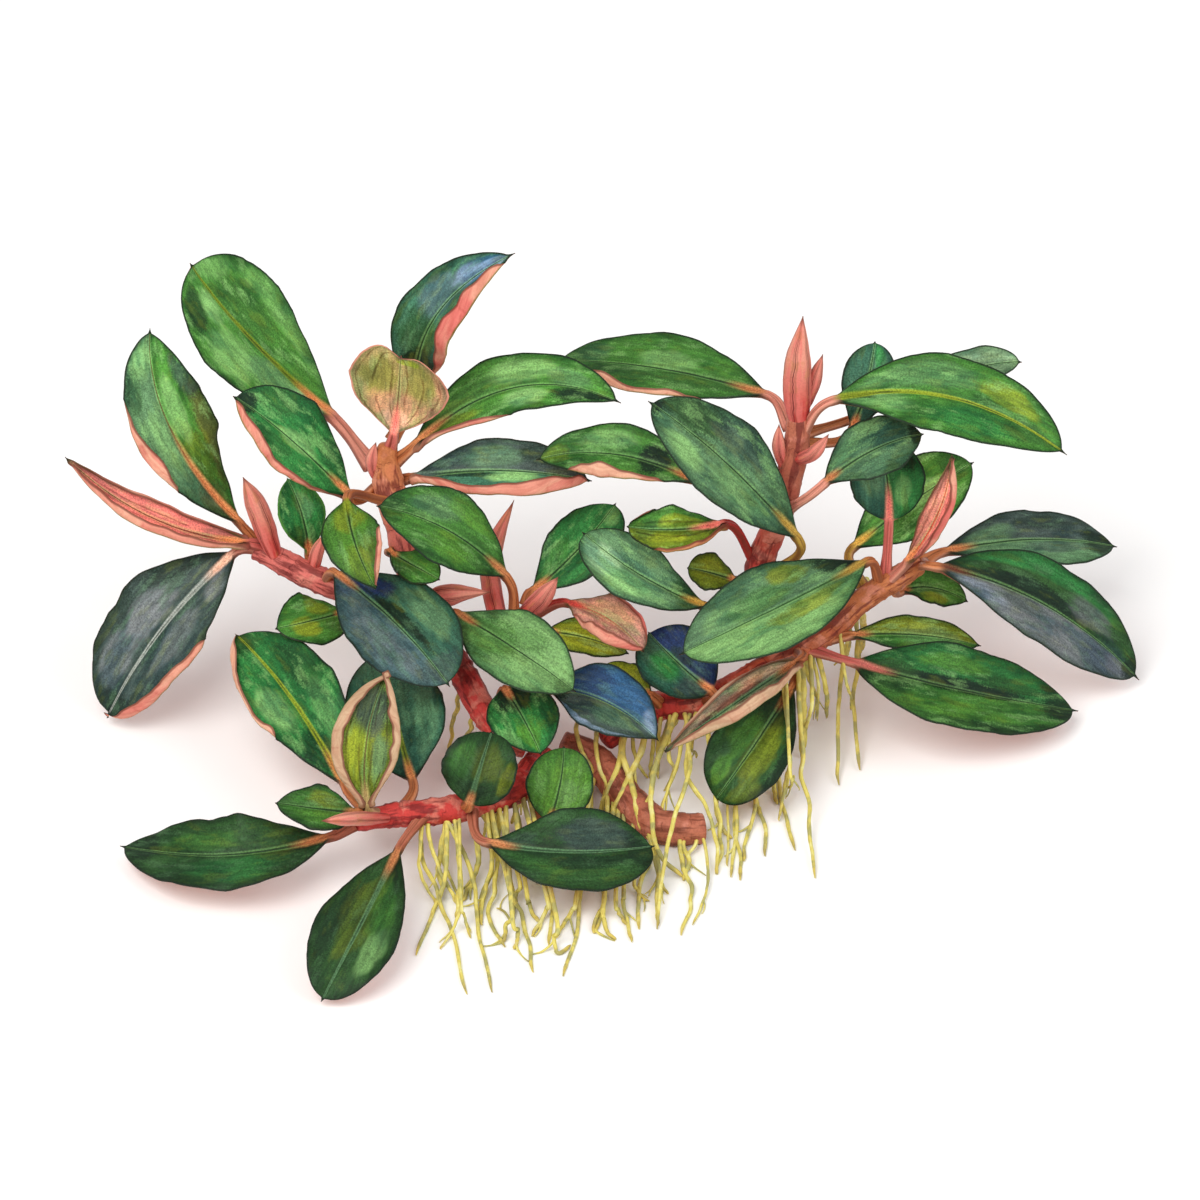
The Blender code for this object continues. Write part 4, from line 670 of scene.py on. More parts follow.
# finer roots by the stem that carries them: how thick each is beside the usual one, how soon it
# sinks to the floor and the pixels that it passes, with a height in mm where it lies over the
# old rhizome
FINE_ROOTS = {
    "low_left_rhizome": (
        (1.0, 1.6, ((424, 820), (420, 850), (420, 872), (430, 893), (438, 906))),
        (1.2, 1.5, ((426, 820), (431, 845), (441, 872), (452, 893), (457, 904))),
        (1.0, 1.5, ((447, 810), (443, 840), (443, 860), (451, 880), (458, 896))),
        (1.4, 1.6, ((456, 810), (458, 850), (460, 875), (458, 900), (456, 920))),
        (1.5, 2.0, ((470, 806), (478, 850), (477, 868), (471, 885), (462, 901))),
        (1.3, 2.4, ((446, 809), (446, 870), (441, 892), (433, 910), (430, 922))),
        (0.9, 2.4, ((452, 808), (462, 890), (456, 922), (449, 936), (440, 949))),
        (0.9, 2.4, ((460, 806), (461, 900), (464, 915), (467, 926), (470, 938))),
        (1.2, 2.2, ((484, 803), (492, 860), (487, 882), (482, 905), (481, 922))),
        (1.2, 2.2, ((496, 799), (519, 878), (516, 893), (515, 906), (512, 922))),
        (1.2, 2.6, ((490, 802), (512, 905), (506, 925), (505, 938), (502, 942))),
        (0.8, 2.6, ((500, 797), (513, 915), (504, 911), (497, 908))),
        (1.3, 2.6, ((505, 795), (512, 915), (518, 930), (517, 941), (514, 949))),
        (1.3, 2.6, ((512, 791), (526, 888), (529, 902), (533, 915), (540, 922))),
        (1.3, 2.6, ((518, 785), (547, 896), (546, 908), (541, 922), (531, 936))),
        (1.3, 2.6, ((524, 778), (556, 915), (554, 938), (558, 953), (571, 945))),
        (1.0, 1.2, ((489, 803), (487, 818), (485, 830), (484, 839))),
        (0.9, 1.2, ((490, 803), (494, 812), (497, 820), (499, 828))),
        (1.1, 1.2, ((510, 794), (506, 808), (503, 818), (501, 828))),
        (1.7, 1.0, ((532, 768), (524, 785), (518, 805), (512, 824))),
    ),
    "old_rhizome": (
        (1.2, 1.8, ((578, 750), (583, 765), (590, 778), (592, 840), (590, 880))),
        (1.2, 1.6, ((596, 760), (597, 772), (602, 778), (607, 800), (612, 850))),
        (1.3, 2.2, ((590, 757), (577, 892), (572, 910), (563, 925), (556, 938))),
        (1.2, 2.2, ((606, 775), (604, 898), (599, 912), (594, 926), (593, 933))),
        (1.3, 2.2, ((612, 785), (604, 900), (604, 920), (609, 934), (616, 939))),
        (1.2, 2.2, ((622, 795), (624, 886), (623, 902), (627, 922), (631, 942))),
        (1.2, 2.2, ((618, 790), (616, 896), (618, 910), (622, 918), (627, 925))),
        (1.0, 2.0, ((632, 805), (634, 878), (637, 889), (642, 897), (649, 901))),
        (1.0, 2.0, ((645, 818), (656, 866), (660, 880), (664, 888), (668, 894))),
        (1.4, 1.6, ((690, 828), (683, 845), (689, 860), (686, 872), (683, 880))),
        (1.1, 1.6, ((698, 828), (695, 845), (689, 855), (690, 870))),
        (0.9, 1.6, ((700, 828), (706, 850), (708, 882), (704, 900), (692, 925))),
        (1.2, 2.0, ((650, 822), (659, 870), (657, 890), (657, 908), (658, 926))),
    ),
    "right_stem": (
        (1.6, 0.8, ((681, 705), (668, 733), (656, 765), (651, 790), (652, 815), (654, 838),
                    (664, 860), (683, 877))),
        (1.1, 0.8, ((693, 703), (683, 735), (678, 762), (671, 782), (664, 800), (661, 820),
                    (661, 832))),
        (1.7, 0.8, ((650, 712), (641, 751, 8.0), (631, 772, 6.6), (624, 787, 5.8), (617, 802, 4.1),
                    (611, 814, 1.4))),
        (1.8, 0.8, ((626, 724), (622, 751, 8.2), (629, 774, 6.4), (634, 795, 5.7), (638, 815, 4.6),
                    (642, 832, 2.2))),
        (1.7, 0.8, ((624, 726), (622, 751, 7.6), (616, 772, 6.4), (608, 790, 4.5), (603, 802, 2.2),
                    (601, 815, 0.6))),
        (1.1, 0.9, ((634, 720), (633, 745), (637, 762), (642, 770), (648, 778))),
        (1.3, 0.9, ((656, 708), (653, 745), (651, 762), (650, 778))),
        (1.1, 0.9, ((660, 706), (658, 745), (658, 762), (658, 778))),
        (1.1, 0.9, ((670, 705), (669, 755), (674, 768), (671, 780), (663, 791))),
        (1.3, 1.0, ((700, 703), (688, 750), (687, 775), (696, 792), (706, 806), (713, 828),
                    (717, 850), (717, 874))),
        (0.9, 1.0, ((700, 703), (692, 746), (695, 752), (698, 758))),
        (1.3, 3.6, ((716, 698), (719, 750), (716, 804), (718, 818), (725, 832), (732, 838))),
        (0.8, 3.6, ((722, 694), (726, 750), (728, 820), (728, 845), (727, 866))),
        (1.2, 3.6, ((732, 690), (735, 750), (736, 802), (737, 830), (734, 850), (731, 877))),
        (1.2, 3.6, ((744, 682), (752, 745), (756, 800), (751, 824), (745, 844), (744, 861))),
        (1.0, 3.6, ((748, 680), (754, 745), (756, 798), (760, 810), (763, 820))),
        (1.5, 3.0, ((764, 668), (770, 735), (773, 780), (775, 793), (777, 804))),
        (1.1, 1.2, ((780, 660), (790, 752), (787, 775), (783, 796), (779, 821))),
        (1.0, 1.2, ((785, 658), (790, 770), (793, 777), (790, 787), (785, 785))),
        (2.2, 0.8, ((803, 648), (803, 685), (803, 712), (801, 757))),
        (1.2, 0.8, ((808, 645), (812, 700), (808, 720), (803, 737))),
        (1.0, 0.8, ((806, 646), (808, 676), (813, 688), (817, 700))),
        (1.0, 0.8, ((812, 642), (818, 682), (817, 700), (816, 719))),
        (1.5, 0.8, ((816, 640), (824, 680), (827, 698), (827, 718))),
        (1.0, 0.8, ((840, 622), (846, 680), (850, 695), (852, 710))),
        (2.0, 0.8, ((846, 616), (849, 632), (848, 645), (846, 656))),
        (2.1, 0.8, ((860, 602), (863, 620), (863, 636), (861, 652))),
        (3.0, 0.8, ((684, 703), (674, 718), (667, 733), (660, 750))),
        (1.3, 0.8, ((606, 728), (600, 722, 9.4), (596, 740, 8.8), (598, 762, 7.6), (604, 778, 5.6),
                    (609, 792, 3.9), (611, 806, 1.2))),
        (1.3, 0.8, ((600, 730), (584, 717, 9.8), (576, 728, 9.6), (580, 746, 8.5), (586, 758, 7.3),
                    (591, 767, 6.0), (596, 786, 1.4))),
    ),
}


# Materials

class Amount:
    """A number at a socket; arithmetic on it adds Math nodes."""

    def __init__(self, finish, socket):
        self.finish, self.socket = finish, socket

    def combine(self, operation, first, second):
        """Add one Math node with this operation on two values."""
        return self.finish.amount("ShaderNodeMath", {"operation": operation},
                                  {0: first, 1: second}, "Value")

    def __add__(self, other):
        return self.combine("ADD", self, other)

    def __radd__(self, other):
        return self.combine("ADD", other, self)

    def __sub__(self, other):
        return self.combine("SUBTRACT", self, other)

    def __rsub__(self, other):
        return self.combine("SUBTRACT", other, self)

    def __mul__(self, other):
        return self.combine("MULTIPLY", self, other)

    def __rmul__(self, other):
        return self.combine("MULTIPLY", other, self)

    def __truediv__(self, other):
        return self.combine("DIVIDE", self, other)

    def __rtruediv__(self, other):
        return self.combine("DIVIDE", other, self)

    def __pow__(self, other):
        return self.combine("POWER", self, other)

    def __abs__(self):
        return self.combine("ABSOLUTE", self, 0.0)

    def fraction(self):
        """What is left after the whole number."""
        return self.combine("FRACT", self, 0.0)


class Finish:
    """One material in the making."""

    def __init__(self, name):
        self.material = bpy.data.materials.new(name)
        self.material.use_nodes = True
        self.nodes = self.material.node_tree.nodes
        self.links = self.material.node_tree.links
        self.shader = self.nodes["Principled BSDF"]

    def add(self, kind, settings=None, sockets=None):
        """Add a node: first its settings, then its sockets' values or links."""
        node = self.nodes.new(kind)
        for name, value in (settings or {}).items():
            setattr(node, name, value)
        self.plug(node, sockets or {})
        return node

    def plug(self, node, sockets):
        """Give sockets of a node their values or links."""
        for name, value in sockets.items():
            if isinstance(value, Amount):
                value = value.socket
            if isinstance(value, bpy.types.NodeSocket):
                self.links.new(value, node.inputs[name])
            else:
                node.inputs[name].default_value = value

    def amount(self, kind, settings, sockets, output):
        """Add a node and return one of its outputs as a number."""
        return Amount(self, self.add(kind, settings, sockets).outputs[output])

    def attribute(self, name):
        """The three numbers that a mesh keeps at each of its points under this name."""
        node = self.add("ShaderNodeAttribute", {"attribute_name": name})
        split = self.add("ShaderNodeSeparateXYZ", sockets={0: node.outputs["Vector"]})
        return [Amount(self, split.outputs[axis]) for axis in "XYZ"]

    def point(self, x, y, z):
        """A vector from three numbers."""
        return self.add("ShaderNodeCombineXYZ", sockets={0: x, 1: y, 2: z}).outputs[0]

    def cloud(self, x, y, z, scale=1.0, detail=2.0, roughness=0.5):
        """Soft noise from 0 to 1 at a place given by three numbers."""
        return self.amount("ShaderNodeTexNoise", {"noise_dimensions": "3D"},
                           {"Vector": self.point(x, y, z), "Scale": scale, "Detail": detail,
                            "Roughness": roughness}, "Fac")

    def rise(self, value, low, high):
        """A smooth step from 0 at low to 1 at high."""
        return self.amount("ShaderNodeMapRange", {"interpolation_type": "SMOOTHSTEP"},
                           {"Value": value, "From Min": low, "From Max": high}, "Result")

    def fall(self, value, low, high):
        """A smooth step from 1 at low to 0 at high."""
        return 1.0 - self.rise(value, low, high)

    def mix(self, share, first, second, blend="MIX"):
        """Mix two colours."""
        node = self.add("ShaderNodeMix", {"data_type": "RGBA", "blend_type": blend})
        self.plug(node, {0: share, 6: first, 7: second})
        return node.outputs[2]

    def paint(self, share, colour, name):
        """Lay a palette colour over a colour."""
        return self.mix(share, colour, tint(name))

    def darken(self, share, colour, by):
        """Multiply a colour by another one or by a grey given as one number."""
        return self.mix(share, colour, shade(by) if isinstance(by, float) else by, "MULTIPLY")

    def finish(self, colour, roughness, height, depth, strength=0.8):
        """Connect the surface's colour, roughness and relief and return the material."""
        bump = self.add("ShaderNodeBump", sockets={"Height": height, "Distance": depth,
                                                   "Strength": strength})
        self.plug(self.shader, {"Base Color": colour, "Roughness": roughness,
                                "Specular IOR Level": SHEEN, "Normal": bump.outputs[0]})
        return self.material


def shade(share):
    """A grey that multiplies a colour."""
    return (share, share, share, 1.0)


# how strongly surfaces reflect, and the depth of each one's relief in metres
SHEEN = 0.15
LEAF_RELIEF = 0.00022
STEM_RELIEF = 0.0003
SPIKE_RELIEF = 0.00025
ROOT_RELIEF = 0.00015
FLOOR_RELIEF = 0.0002

# colours that the washes multiply by
COOL_WASH = (0.36, 0.52, 0.58, 1.0)
POOLED_WASH = (0.58, 0.66, 0.66, 1.0)
EDGE_WASH = (0.30, 0.42, 0.38, 1.0)
STRIPE_WASH = (0.34, 0.22, 0.17, 1.0)
SKIN_WASH = (0.55, 0.36, 0.34, 1.0)
UNDER_STROKES = (0.70, 0.48, 0.44, 1.0)
UNDER_POOLS = (0.75, 0.60, 0.58, 1.0)
UNDER_VEINS = (0.70, 0.45, 0.42, 1.0)
ROOT_FIBRES = (0.62, 0.52, 0.36, 1.0)

# palette names: midribs darker than the blade, blades that get a fainter painted highlight, and
# undersides that get the full peach and coral
DARK_MIDRIBS = ("deep", "dark", "brown", "crimson", "navy", "ink", "rust", "red")
DARK_FACES = ("dark", "slate", "bark", "navy", "blue", "teal", "violet_grey")
FLESHY_UNDERSIDES = ("salmon", "coral", "peach")


def leaf_finish(leaf, seed):
    """The leaf's material: washes of green, midrib, veins, rim, petiole and underside."""
    make = Finish(leaf.name + "_finish")
    along, across, upper = make.attribute("place")
    side_mm, along_mm, edge_mm = make.attribute("flat")
    crease_mm, creased, _ = make.attribute("crease")
    top = make.rise(upper, 0.46, 0.54)
    offset = seed * 7.3
    wash = make.cloud(side_mm * 0.20, along_mm * 0.09, offset, 1.0, 3.0, 0.55)
    bloom = make.cloud(side_mm * 0.42, along_mm * 0.13, offset + 31.0, 1.0, 4.0, 0.6)
    pool = make.cloud(side_mm * 0.42, along_mm * 0.22, offset + 83.0, 1.0, 2.0, 0.5)
    stroke = make.cloud(side_mm * 1.30, along_mm * 0.16, offset + 57.0, 1.0, 3.0, 0.6)
    grain = make.cloud(side_mm * 3.2, along_mm * 3.2, offset, 1.0, 3.0, 0.7)

    # base colours and patches
    half = make.rise(across + (wash - 0.5) * 0.02, -0.02, 0.02)
    colour = make.paint(half, tint(leaf.left), leaf.right or leaf.left)
    for place, side, length, width, name, strength in leaf.patches:
        reach = ((along - place) / length) ** 2.0 + ((across - side) / width) ** 2.0
        reach = reach + (bloom - 0.5) * 1.7 + (pool - 0.5) * 0.8 + (grain - 0.5) * 0.8
        mask = make.fall(reach, 0.30, 1.05)
        colour = make.paint(mask * strength, colour, name)

    # drifts of hue and tone, painted highlights, pooled washes with a darker border,
    # lengthwise strokes
    cool = make.rise(wash + (grain - 0.5) * 0.10, 0.48, 0.62) * (leaf.mottle * 1.5)
    colour = make.darken(cool, colour, COOL_WASH)
    warm = make.rise(bloom, 0.47, 0.34) * (leaf.mottle * 0.5)
    colour = make.mix(warm, colour, make.paint(0.45, colour, "yellow_green"))
    # painted highlights of the leaf's sheen, where the bloom is high
    painted_highlight = make.rise(bloom + (grain - 0.5) * 0.12, 0.52, 0.66) * (leaf.mottle * 1.2)
    # the painted highlights are light green, and grey green on darker blades
    bright = make.paint(0.62, colour, "light")
    if leaf.left in DARK_FACES:
        bright = make.paint(0.38, colour, "grey_green")
    colour = make.mix(painted_highlight, colour, bright)
    pooled = make.rise(pool, 0.520, 0.535)
    colour = make.darken(pooled * (leaf.mottle * 0.55), colour, POOLED_WASH)
    border = make.fall(abs(pool - 0.528), 0.004, 0.016)
    colour = make.darken(border * (leaf.mottle * 0.55), colour, 0.5)
    strokes = make.rise(stroke, 0.40, 0.62)
    colour = make.darken(strokes * 0.50, colour, 0.44)
    edging = make.fall(edge_mm + (bloom - 0.5) * 4.0, 0.2, 2.1)
    edging = edging + make.fall(along + (bloom - 0.5) * 0.2, 0.02, 0.16) * 0.6
    colour = make.darken(edging * 0.72, colour, EDGE_WASH)
    if leaf.stripes:
        line_place = across * (0.5 * leaf.stripes) + (wash - 0.5) * 0.6
        stripe = make.fall(abs(line_place.fraction() - 0.5), 0.03, 0.12)
        stripe = stripe * make.rise(bloom, 0.38, 0.52)
        colour = make.darken(stripe * 0.65, colour, STRIPE_WASH)

    # side veins, faint
    lean = abs(across) ** VEIN_CURVE * VEIN_LEAN
    turn = (along - lean) * VEINS + half * 0.5 + (wash - 0.5) * 0.9
    to_vein = abs(turn.fraction() - 0.5)
    vein = make.fall(to_vein, 0.0, 0.10) * make.fall(edge_mm, 1.2, 0.2)
    vein = vein * make.rise(bloom, 0.40, 0.6) * make.rise(along, 0.0, 0.1)
    colour = make.darken(vein * leaf.veins, colour, 0.38)

    # the midrib: a dark line in a paler band, or a pale band with a dark line
    width_now = (1.0 - along * 0.75) * (0.5 * sizes().midrib_width / MM)
    beside = abs(side_mm + (bloom - 0.5) * 0.25) / width_now
    band = make.fall(beside, 0.7, 1.6)
    line = make.fall(beside, 0.20, 0.55)
    if leaf.midrib in DARK_MIDRIBS:
        colour = make.paint(band * 0.30, colour, "light")
        colour = make.paint(line * 0.85, colour, leaf.midrib)
    else:
        colour = make.paint(band * 0.80, colour, leaf.midrib)
        colour = make.paint(line * make.rise(wash, 0.40, 0.60) * 0.7, colour, "deep")
    shadow = make.rise(beside, 1.2, 1.8) * make.fall(beside, 1.8, 3.4)
    colour = make.darken(shadow * 0.35, colour, 0.50)
    foot = make.fall(along, 0.35 * leaf.foot_reach, leaf.foot_reach)
    foot = foot * make.fall(beside, 0.6, 2.2)
    colour = make.paint(foot * 0.9, colour, leaf.foot)

    # the granulation of the paint, painted shade in a crease, the rim and the dark tip
    tone = (0.70 + make.rise(grain, 0.30, 0.70) * 0.78) * leaf.tone
    colour = make.darken(1.0, colour, make.point(tone, tone, tone))
    # painted shade on the upper face along the crease of a folded margin
    inside = make.fall(abs(crease_mm), 0.15, 0.9) * creased
    colour = make.darken(inside * 0.6, colour, 0.42)
    rim = make.fall(edge_mm + (grain - 0.5) * 0.25, 0.22, 0.54)
    colour = make.paint(rim * 0.9, colour, leaf.rim)
    ending = make.rise(along + (bloom - 0.5) * 0.02, 0.955, 0.985)
    colour = make.paint(ending * 0.8, colour, "ink")

    # the underside, which also shows on folded margins
    fleshy = 1.0 if leaf.under in FLESHY_UNDERSIDES else 0.3
    below = make.paint(make.rise(wash, 0.42, 0.62) * (0.7 * fleshy), tint(leaf.under), "peach")
    below = make.paint(make.rise(bloom, 0.52, 0.62) * (0.5 * fleshy), below, "coral")
    below = make.darken(strokes * 0.45, below, UNDER_STROKES)
    below = make.darken(pooled * 0.25, below, UNDER_POOLS)
    below = make.darken(vein * 0.4, below, UNDER_VEINS)
    below = make.paint(line * 0.5, below, "red")
    fold_line = make.fall(abs(crease_mm), 0.10, 0.34) * creased
    below = make.paint(fold_line * 0.65, below, "olive")
    below = make.paint(rim * 0.8, below, "bark")
    below = make.darken(make.rise(grain, 0.35, 0.65) * 0.25, below, 0.66)
    colour = make.mix(top, below, colour)

    # the petiole
    stalk = make.fall(along, -0.01, 0.045)
    streak = make.rise(make.cloud(across * 2.2, along_mm * 0.12, offset), 0.42, 0.62)
    skin = make.darken(streak * 0.6, tint(leaf.petiole_tint), SKIN_WASH)
    skin = make.paint(make.rise(across, 0.45, 0.95) * 0.4, skin, "peach")
    skin = make.paint(make.rise(abs(across), 0.80, 0.97) * 0.6, skin, "bark")
    skin = make.paint(make.fall(abs(across + 0.1), 0.03, 0.16) * 0.4, skin, "brown")
    skin = make.darken(make.rise(grain, 0.35, 0.65) * 0.3, skin, 0.6)
    colour = make.mix(stalk, colour, skin)

    relief = stroke * 0.35 + grain * 0.10 - vein * 0.3 - line * 0.6
    rough = 0.40 + grain * 0.18 + (1.0 - top) * 0.08
    return make.finish(colour, rough, relief, LEAF_RELIEF)


def stem_finish(stem):
    """A rhizome's skin: red to orange washes, lengthwise streaks and faint leaf scars."""
    make = Finish(stem.name + "_finish")
    along_mm, turn, share = make.attribute("place")
    ring_x, ring_y, ring_z = make.attribute("flat")
    around = abs(turn - 0.5) * 11.0
    wash = make.cloud(ring_x, ring_y, ring_z, 0.22, 3.0, 0.6)
    blot = make.cloud(ring_x + 40.0, ring_y, ring_z, 0.34, 3.0, 0.55)
    streak = make.cloud(around, along_mm * 0.13, 3.0, 1.0, 3.0, 0.6)
    grain = make.cloud(ring_x, ring_y, ring_z, 2.6, 3.0, 0.6)
    colour = make.paint(make.rise(share + (wash - 0.5) * 0.9, 0.1, 0.9),
                        tint(stem.start_tint), stem.end_tint)
    line = "bark" if stem.torn else "crimson"
    # paler salmon where the wash is high: painted pink highlights
    colour = make.paint(make.rise(wash, 0.50, 0.62) * 0.55, colour, "salmon")
    blotted = make.rise(blot + (grain - 0.5) * 0.1, 0.48, 0.60)
    colour = make.darken(blotted * 0.4, colour, SKIN_WASH)
    colour = make.paint(make.rise(streak, 0.47, 0.60) * 0.75, colour, line)
    place = along_mm / (sizes().scar_spacing / MM) + (wash - 0.5) * 2.4
    to_scar = abs(place.fraction() - 0.5)
    scar = make.fall(to_scar + (grain - 0.5) * 0.03, 0.006, 0.032)
    scar = scar * make.rise(blot, 0.44, 0.54) * make.rise(grain, 0.30, 0.50)
    colour = make.paint(scar * 0.55, colour, line)
    colour = make.darken(make.rise(grain, 0.40, 0.70) * 0.35, colour, 0.55)
    relief = streak * 0.7 + grain * 0.25 - scar * 0.6
    return make.finish(colour, 0.42 + grain * 0.2, relief, STEM_RELIEF)


def spike_finish(name):
    """Buds and spear leaves: red to salmon along them, with coral streaks and lengthwise lines."""
    make = Finish(name + "_spike_finish")
    along_mm, turn, share = make.attribute("place")
    around = abs(turn - 0.5) * 9.0
    streak = make.cloud(around, along_mm * 0.09, 9.0, 1.0, 3.0, 0.6)
    wash = make.cloud(around * 0.4, along_mm * 0.16, 2.0, 1.0, 3.0, 0.6)
    grain = make.cloud(around * 4.0, along_mm * 2.4, 2.0, 1.0, 2.0, 0.6)
    colour = make.paint(make.rise(share + (wash - 0.5) * 0.5, 0.10, 0.70), tint("red"), "salmon")
    colour = make.paint(make.rise(streak, 0.42, 0.60) * 0.75, colour, "coral")
    colour = make.paint(make.rise(wash, 0.52, 0.60) * 0.45, colour, "orange")
    seam = abs((turn * 5.0 + (wash - 0.5) * 0.5).fraction() - 0.5)
    line = make.fall(seam + share * share * 0.03, 0.012, 0.060)
    colour = make.paint(line * 0.80, colour, "crimson")
    beside = make.rise(seam, 0.06, 0.10) * make.fall(seam, 0.12, 0.26)
    colour = make.paint(beside * 0.45, colour, "bark")
    colour = make.paint(make.rise(share + (grain - 0.5) * 0.05, 0.90, 0.98) * 0.8, colour, "bark")
    colour = make.darken(make.rise(grain, 0.4, 0.7) * 0.3, colour, 0.6)
    return make.finish(colour, 0.42 + grain * 0.15, streak * 0.5 - line, SPIKE_RELIEF)


def root_finish(name):
    """The skin of roots: ochre, paler and greyer in stretches, amber at the tip."""
    make = Finish(name + "_root_finish")
    along_mm, turn, share = make.attribute("place")
    ring_x, ring_y, ring_z = make.attribute("flat")
    wash = make.cloud(ring_x, ring_y, ring_z, 0.20, 3.0, 0.6)
    around = abs(turn - 0.5)
    fibre = make.cloud(around * 9.0, along_mm * 0.4, 4.0, 1.0, 3.0, 0.6)
    colour = make.paint(make.rise(wash, 0.48, 0.60) * 0.9, tint("root"), "root_shade")
    colour = make.paint(make.rise(wash, 0.44, 0.34) * 0.6, colour, "root_pale")
    colour = make.darken(make.rise(fibre, 0.46, 0.62) * 0.45, colour, ROOT_FIBRES)
    colour = make.paint(make.rise(share, 0.88, 1.0) * 0.4, colour, "amber")
    return make.finish(colour, 0.55 + fibre * 0.15, fibre, ROOT_RELIEF, 0.7)


# Meshes

class Shell:
    """Rings of points that become one mesh, each point with what its material reads."""

    def __init__(self):
        self.points, self.faces, self.kinds = [], [], []
        self.place, self.flat, self.crease = [], [], []

    def ring(self, points, place, flat, crease=()):
        """Add one ring and return the numbers of its points."""
        first = len(self.points)
        self.points.extend(points)
        self.place.extend(place)
        self.flat.extend(flat)
        self.crease.extend(crease or [NO_CREASE] * len(points))
        return list(range(first, first + len(points)))

    def join(self, lower, upper, kind=0):
        """Add the faces between two rings."""
        count = len(lower)
        for index in range(count):
            after = (index + 1) % count
            self.faces.append((lower[index], lower[after], upper[after], upper[index]))
            self.kinds.append(kind)

    def close(self, ring, inward, kind=0):
        """Close a ring with a fan of faces to its middle."""
        middle = sum((self.points[index] for index in ring), Vector()) / len(ring)
        place = tuple(sum(self.place[index][axis] for index in ring) / len(ring)
                      for axis in range(3))
        centre = self.ring([middle], [place], [self.flat[ring[0]]])[0]
        for index, corner in enumerate(ring):
            after = ring[(index + 1) % len(ring)]
            self.faces.append((after, corner, centre) if inward else (corner, after, centre))
            self.kinds.append(kind)

    def loft(self, rings, kind=0):
        """Add a closed body through rings given as (points, place, flat, crease)."""
        rows = [self.ring(*ring) for ring in rings]
        for lower, upper in zip(rows, rows[1:]):
            self.join(lower, upper, kind)
        self.close(rows[0], True, kind)
        self.close(rows[-1], False, kind)

    def build(self, name, materials):
        """Turn the rings into a smooth mesh object in metres, kept above the floor."""
        mesh = bpy.data.meshes.new(name)
        corners = [(point.x * MM, point.y * MM, max(point.z, FLOOR_GAP) * MM)
                   for point in self.points]
        mesh.from_pydata(corners, [], self.faces)
        for label, values in (("place", self.place), ("flat", self.flat),
                              ("crease", self.crease)):
            layer = mesh.attributes.new(label, "FLOAT_VECTOR", "POINT")
            layer.data.foreach_set("vector", [number for value in values for number in value])
        for material in materials:
            mesh.materials.append(material)
        mesh.polygons.foreach_set("material_index", self.kinds)
        body = bmesh.new()
        body.from_mesh(mesh)
        bmesh.ops.recalc_face_normals(body, faces=body.faces)
        body.to_mesh(mesh)
        body.free()
        mesh.shade_smooth()
        thing = bpy.data.objects.new(name, mesh)
        bpy.context.scene.collection.objects.link(thing)
        return thing


def half_width(leaf, along):
    """Half the blade's width at a place along it, 0 at the base and 1 at the tip."""
    if along < leaf.widest:
        part, power = along / leaf.widest, leaf.base_full
    else:
        part, power = (1.0 - along) / (1.0 - leaf.widest), leaf.tip_full
    return 0.5 * leaf.width * max(0.0, math.sin(0.5 * math.pi * max(0.0, part))) ** power


def midrib_point(leaf, along):
    """A point of the midrib, a curve from the base over its middle to the tip."""
    base, tip = seen(*leaf.base), seen(*leaf.tip)
    middle = seen(*leaf.middle, 0.5 * (base.z + tip.z) + leaf.arch)
    pull = middle * 2.0 - (base + tip) * 0.5
    back = 1.0 - along
    return base * back ** 2 + pull * (2.0 * along * back) + tip * along ** 2


def blade_frame(leaf, along):
    """The midrib's point, direction, side and upper-face normal at a place along the blade."""
    step = 0.01
    before = midrib_point(leaf, max(0.0, along - step))
    after = midrib_point(leaf, min(1.0, along + step))
    axis = (after - before).normalized()
    facing = TO_VIEWER.lerp(UP, leaf.facing)
    normal = (facing - axis * facing.dot(axis)).normalized()
    return midrib_point(leaf, along), axis, axis.cross(normal), normal


def ring_order():
    """The places around a leaf's section: (side, number of the place, 1 above or -1 below)."""
    last = PLACES - 1
    above = [(1, place, 1) for place in range(last, -1, -1)]
    above += [(-1, place, 1) for place in range(1, PLACES)]
    below = [(-1, place, -1) for place in range(last - 1, -1, -1)]
    below += [(1, place, -1) for place in range(1, last)]
    return above + below


RING_ORDER = ring_order()


def flap_width(keys, along):
    """Width of a margin's flap at a place along the blade."""
    for (start, first), (end, second) in zip(keys, keys[1:]):
        if start <= along <= end:
            return first + (second - first) * ease(along, start, end)
    return 0.0


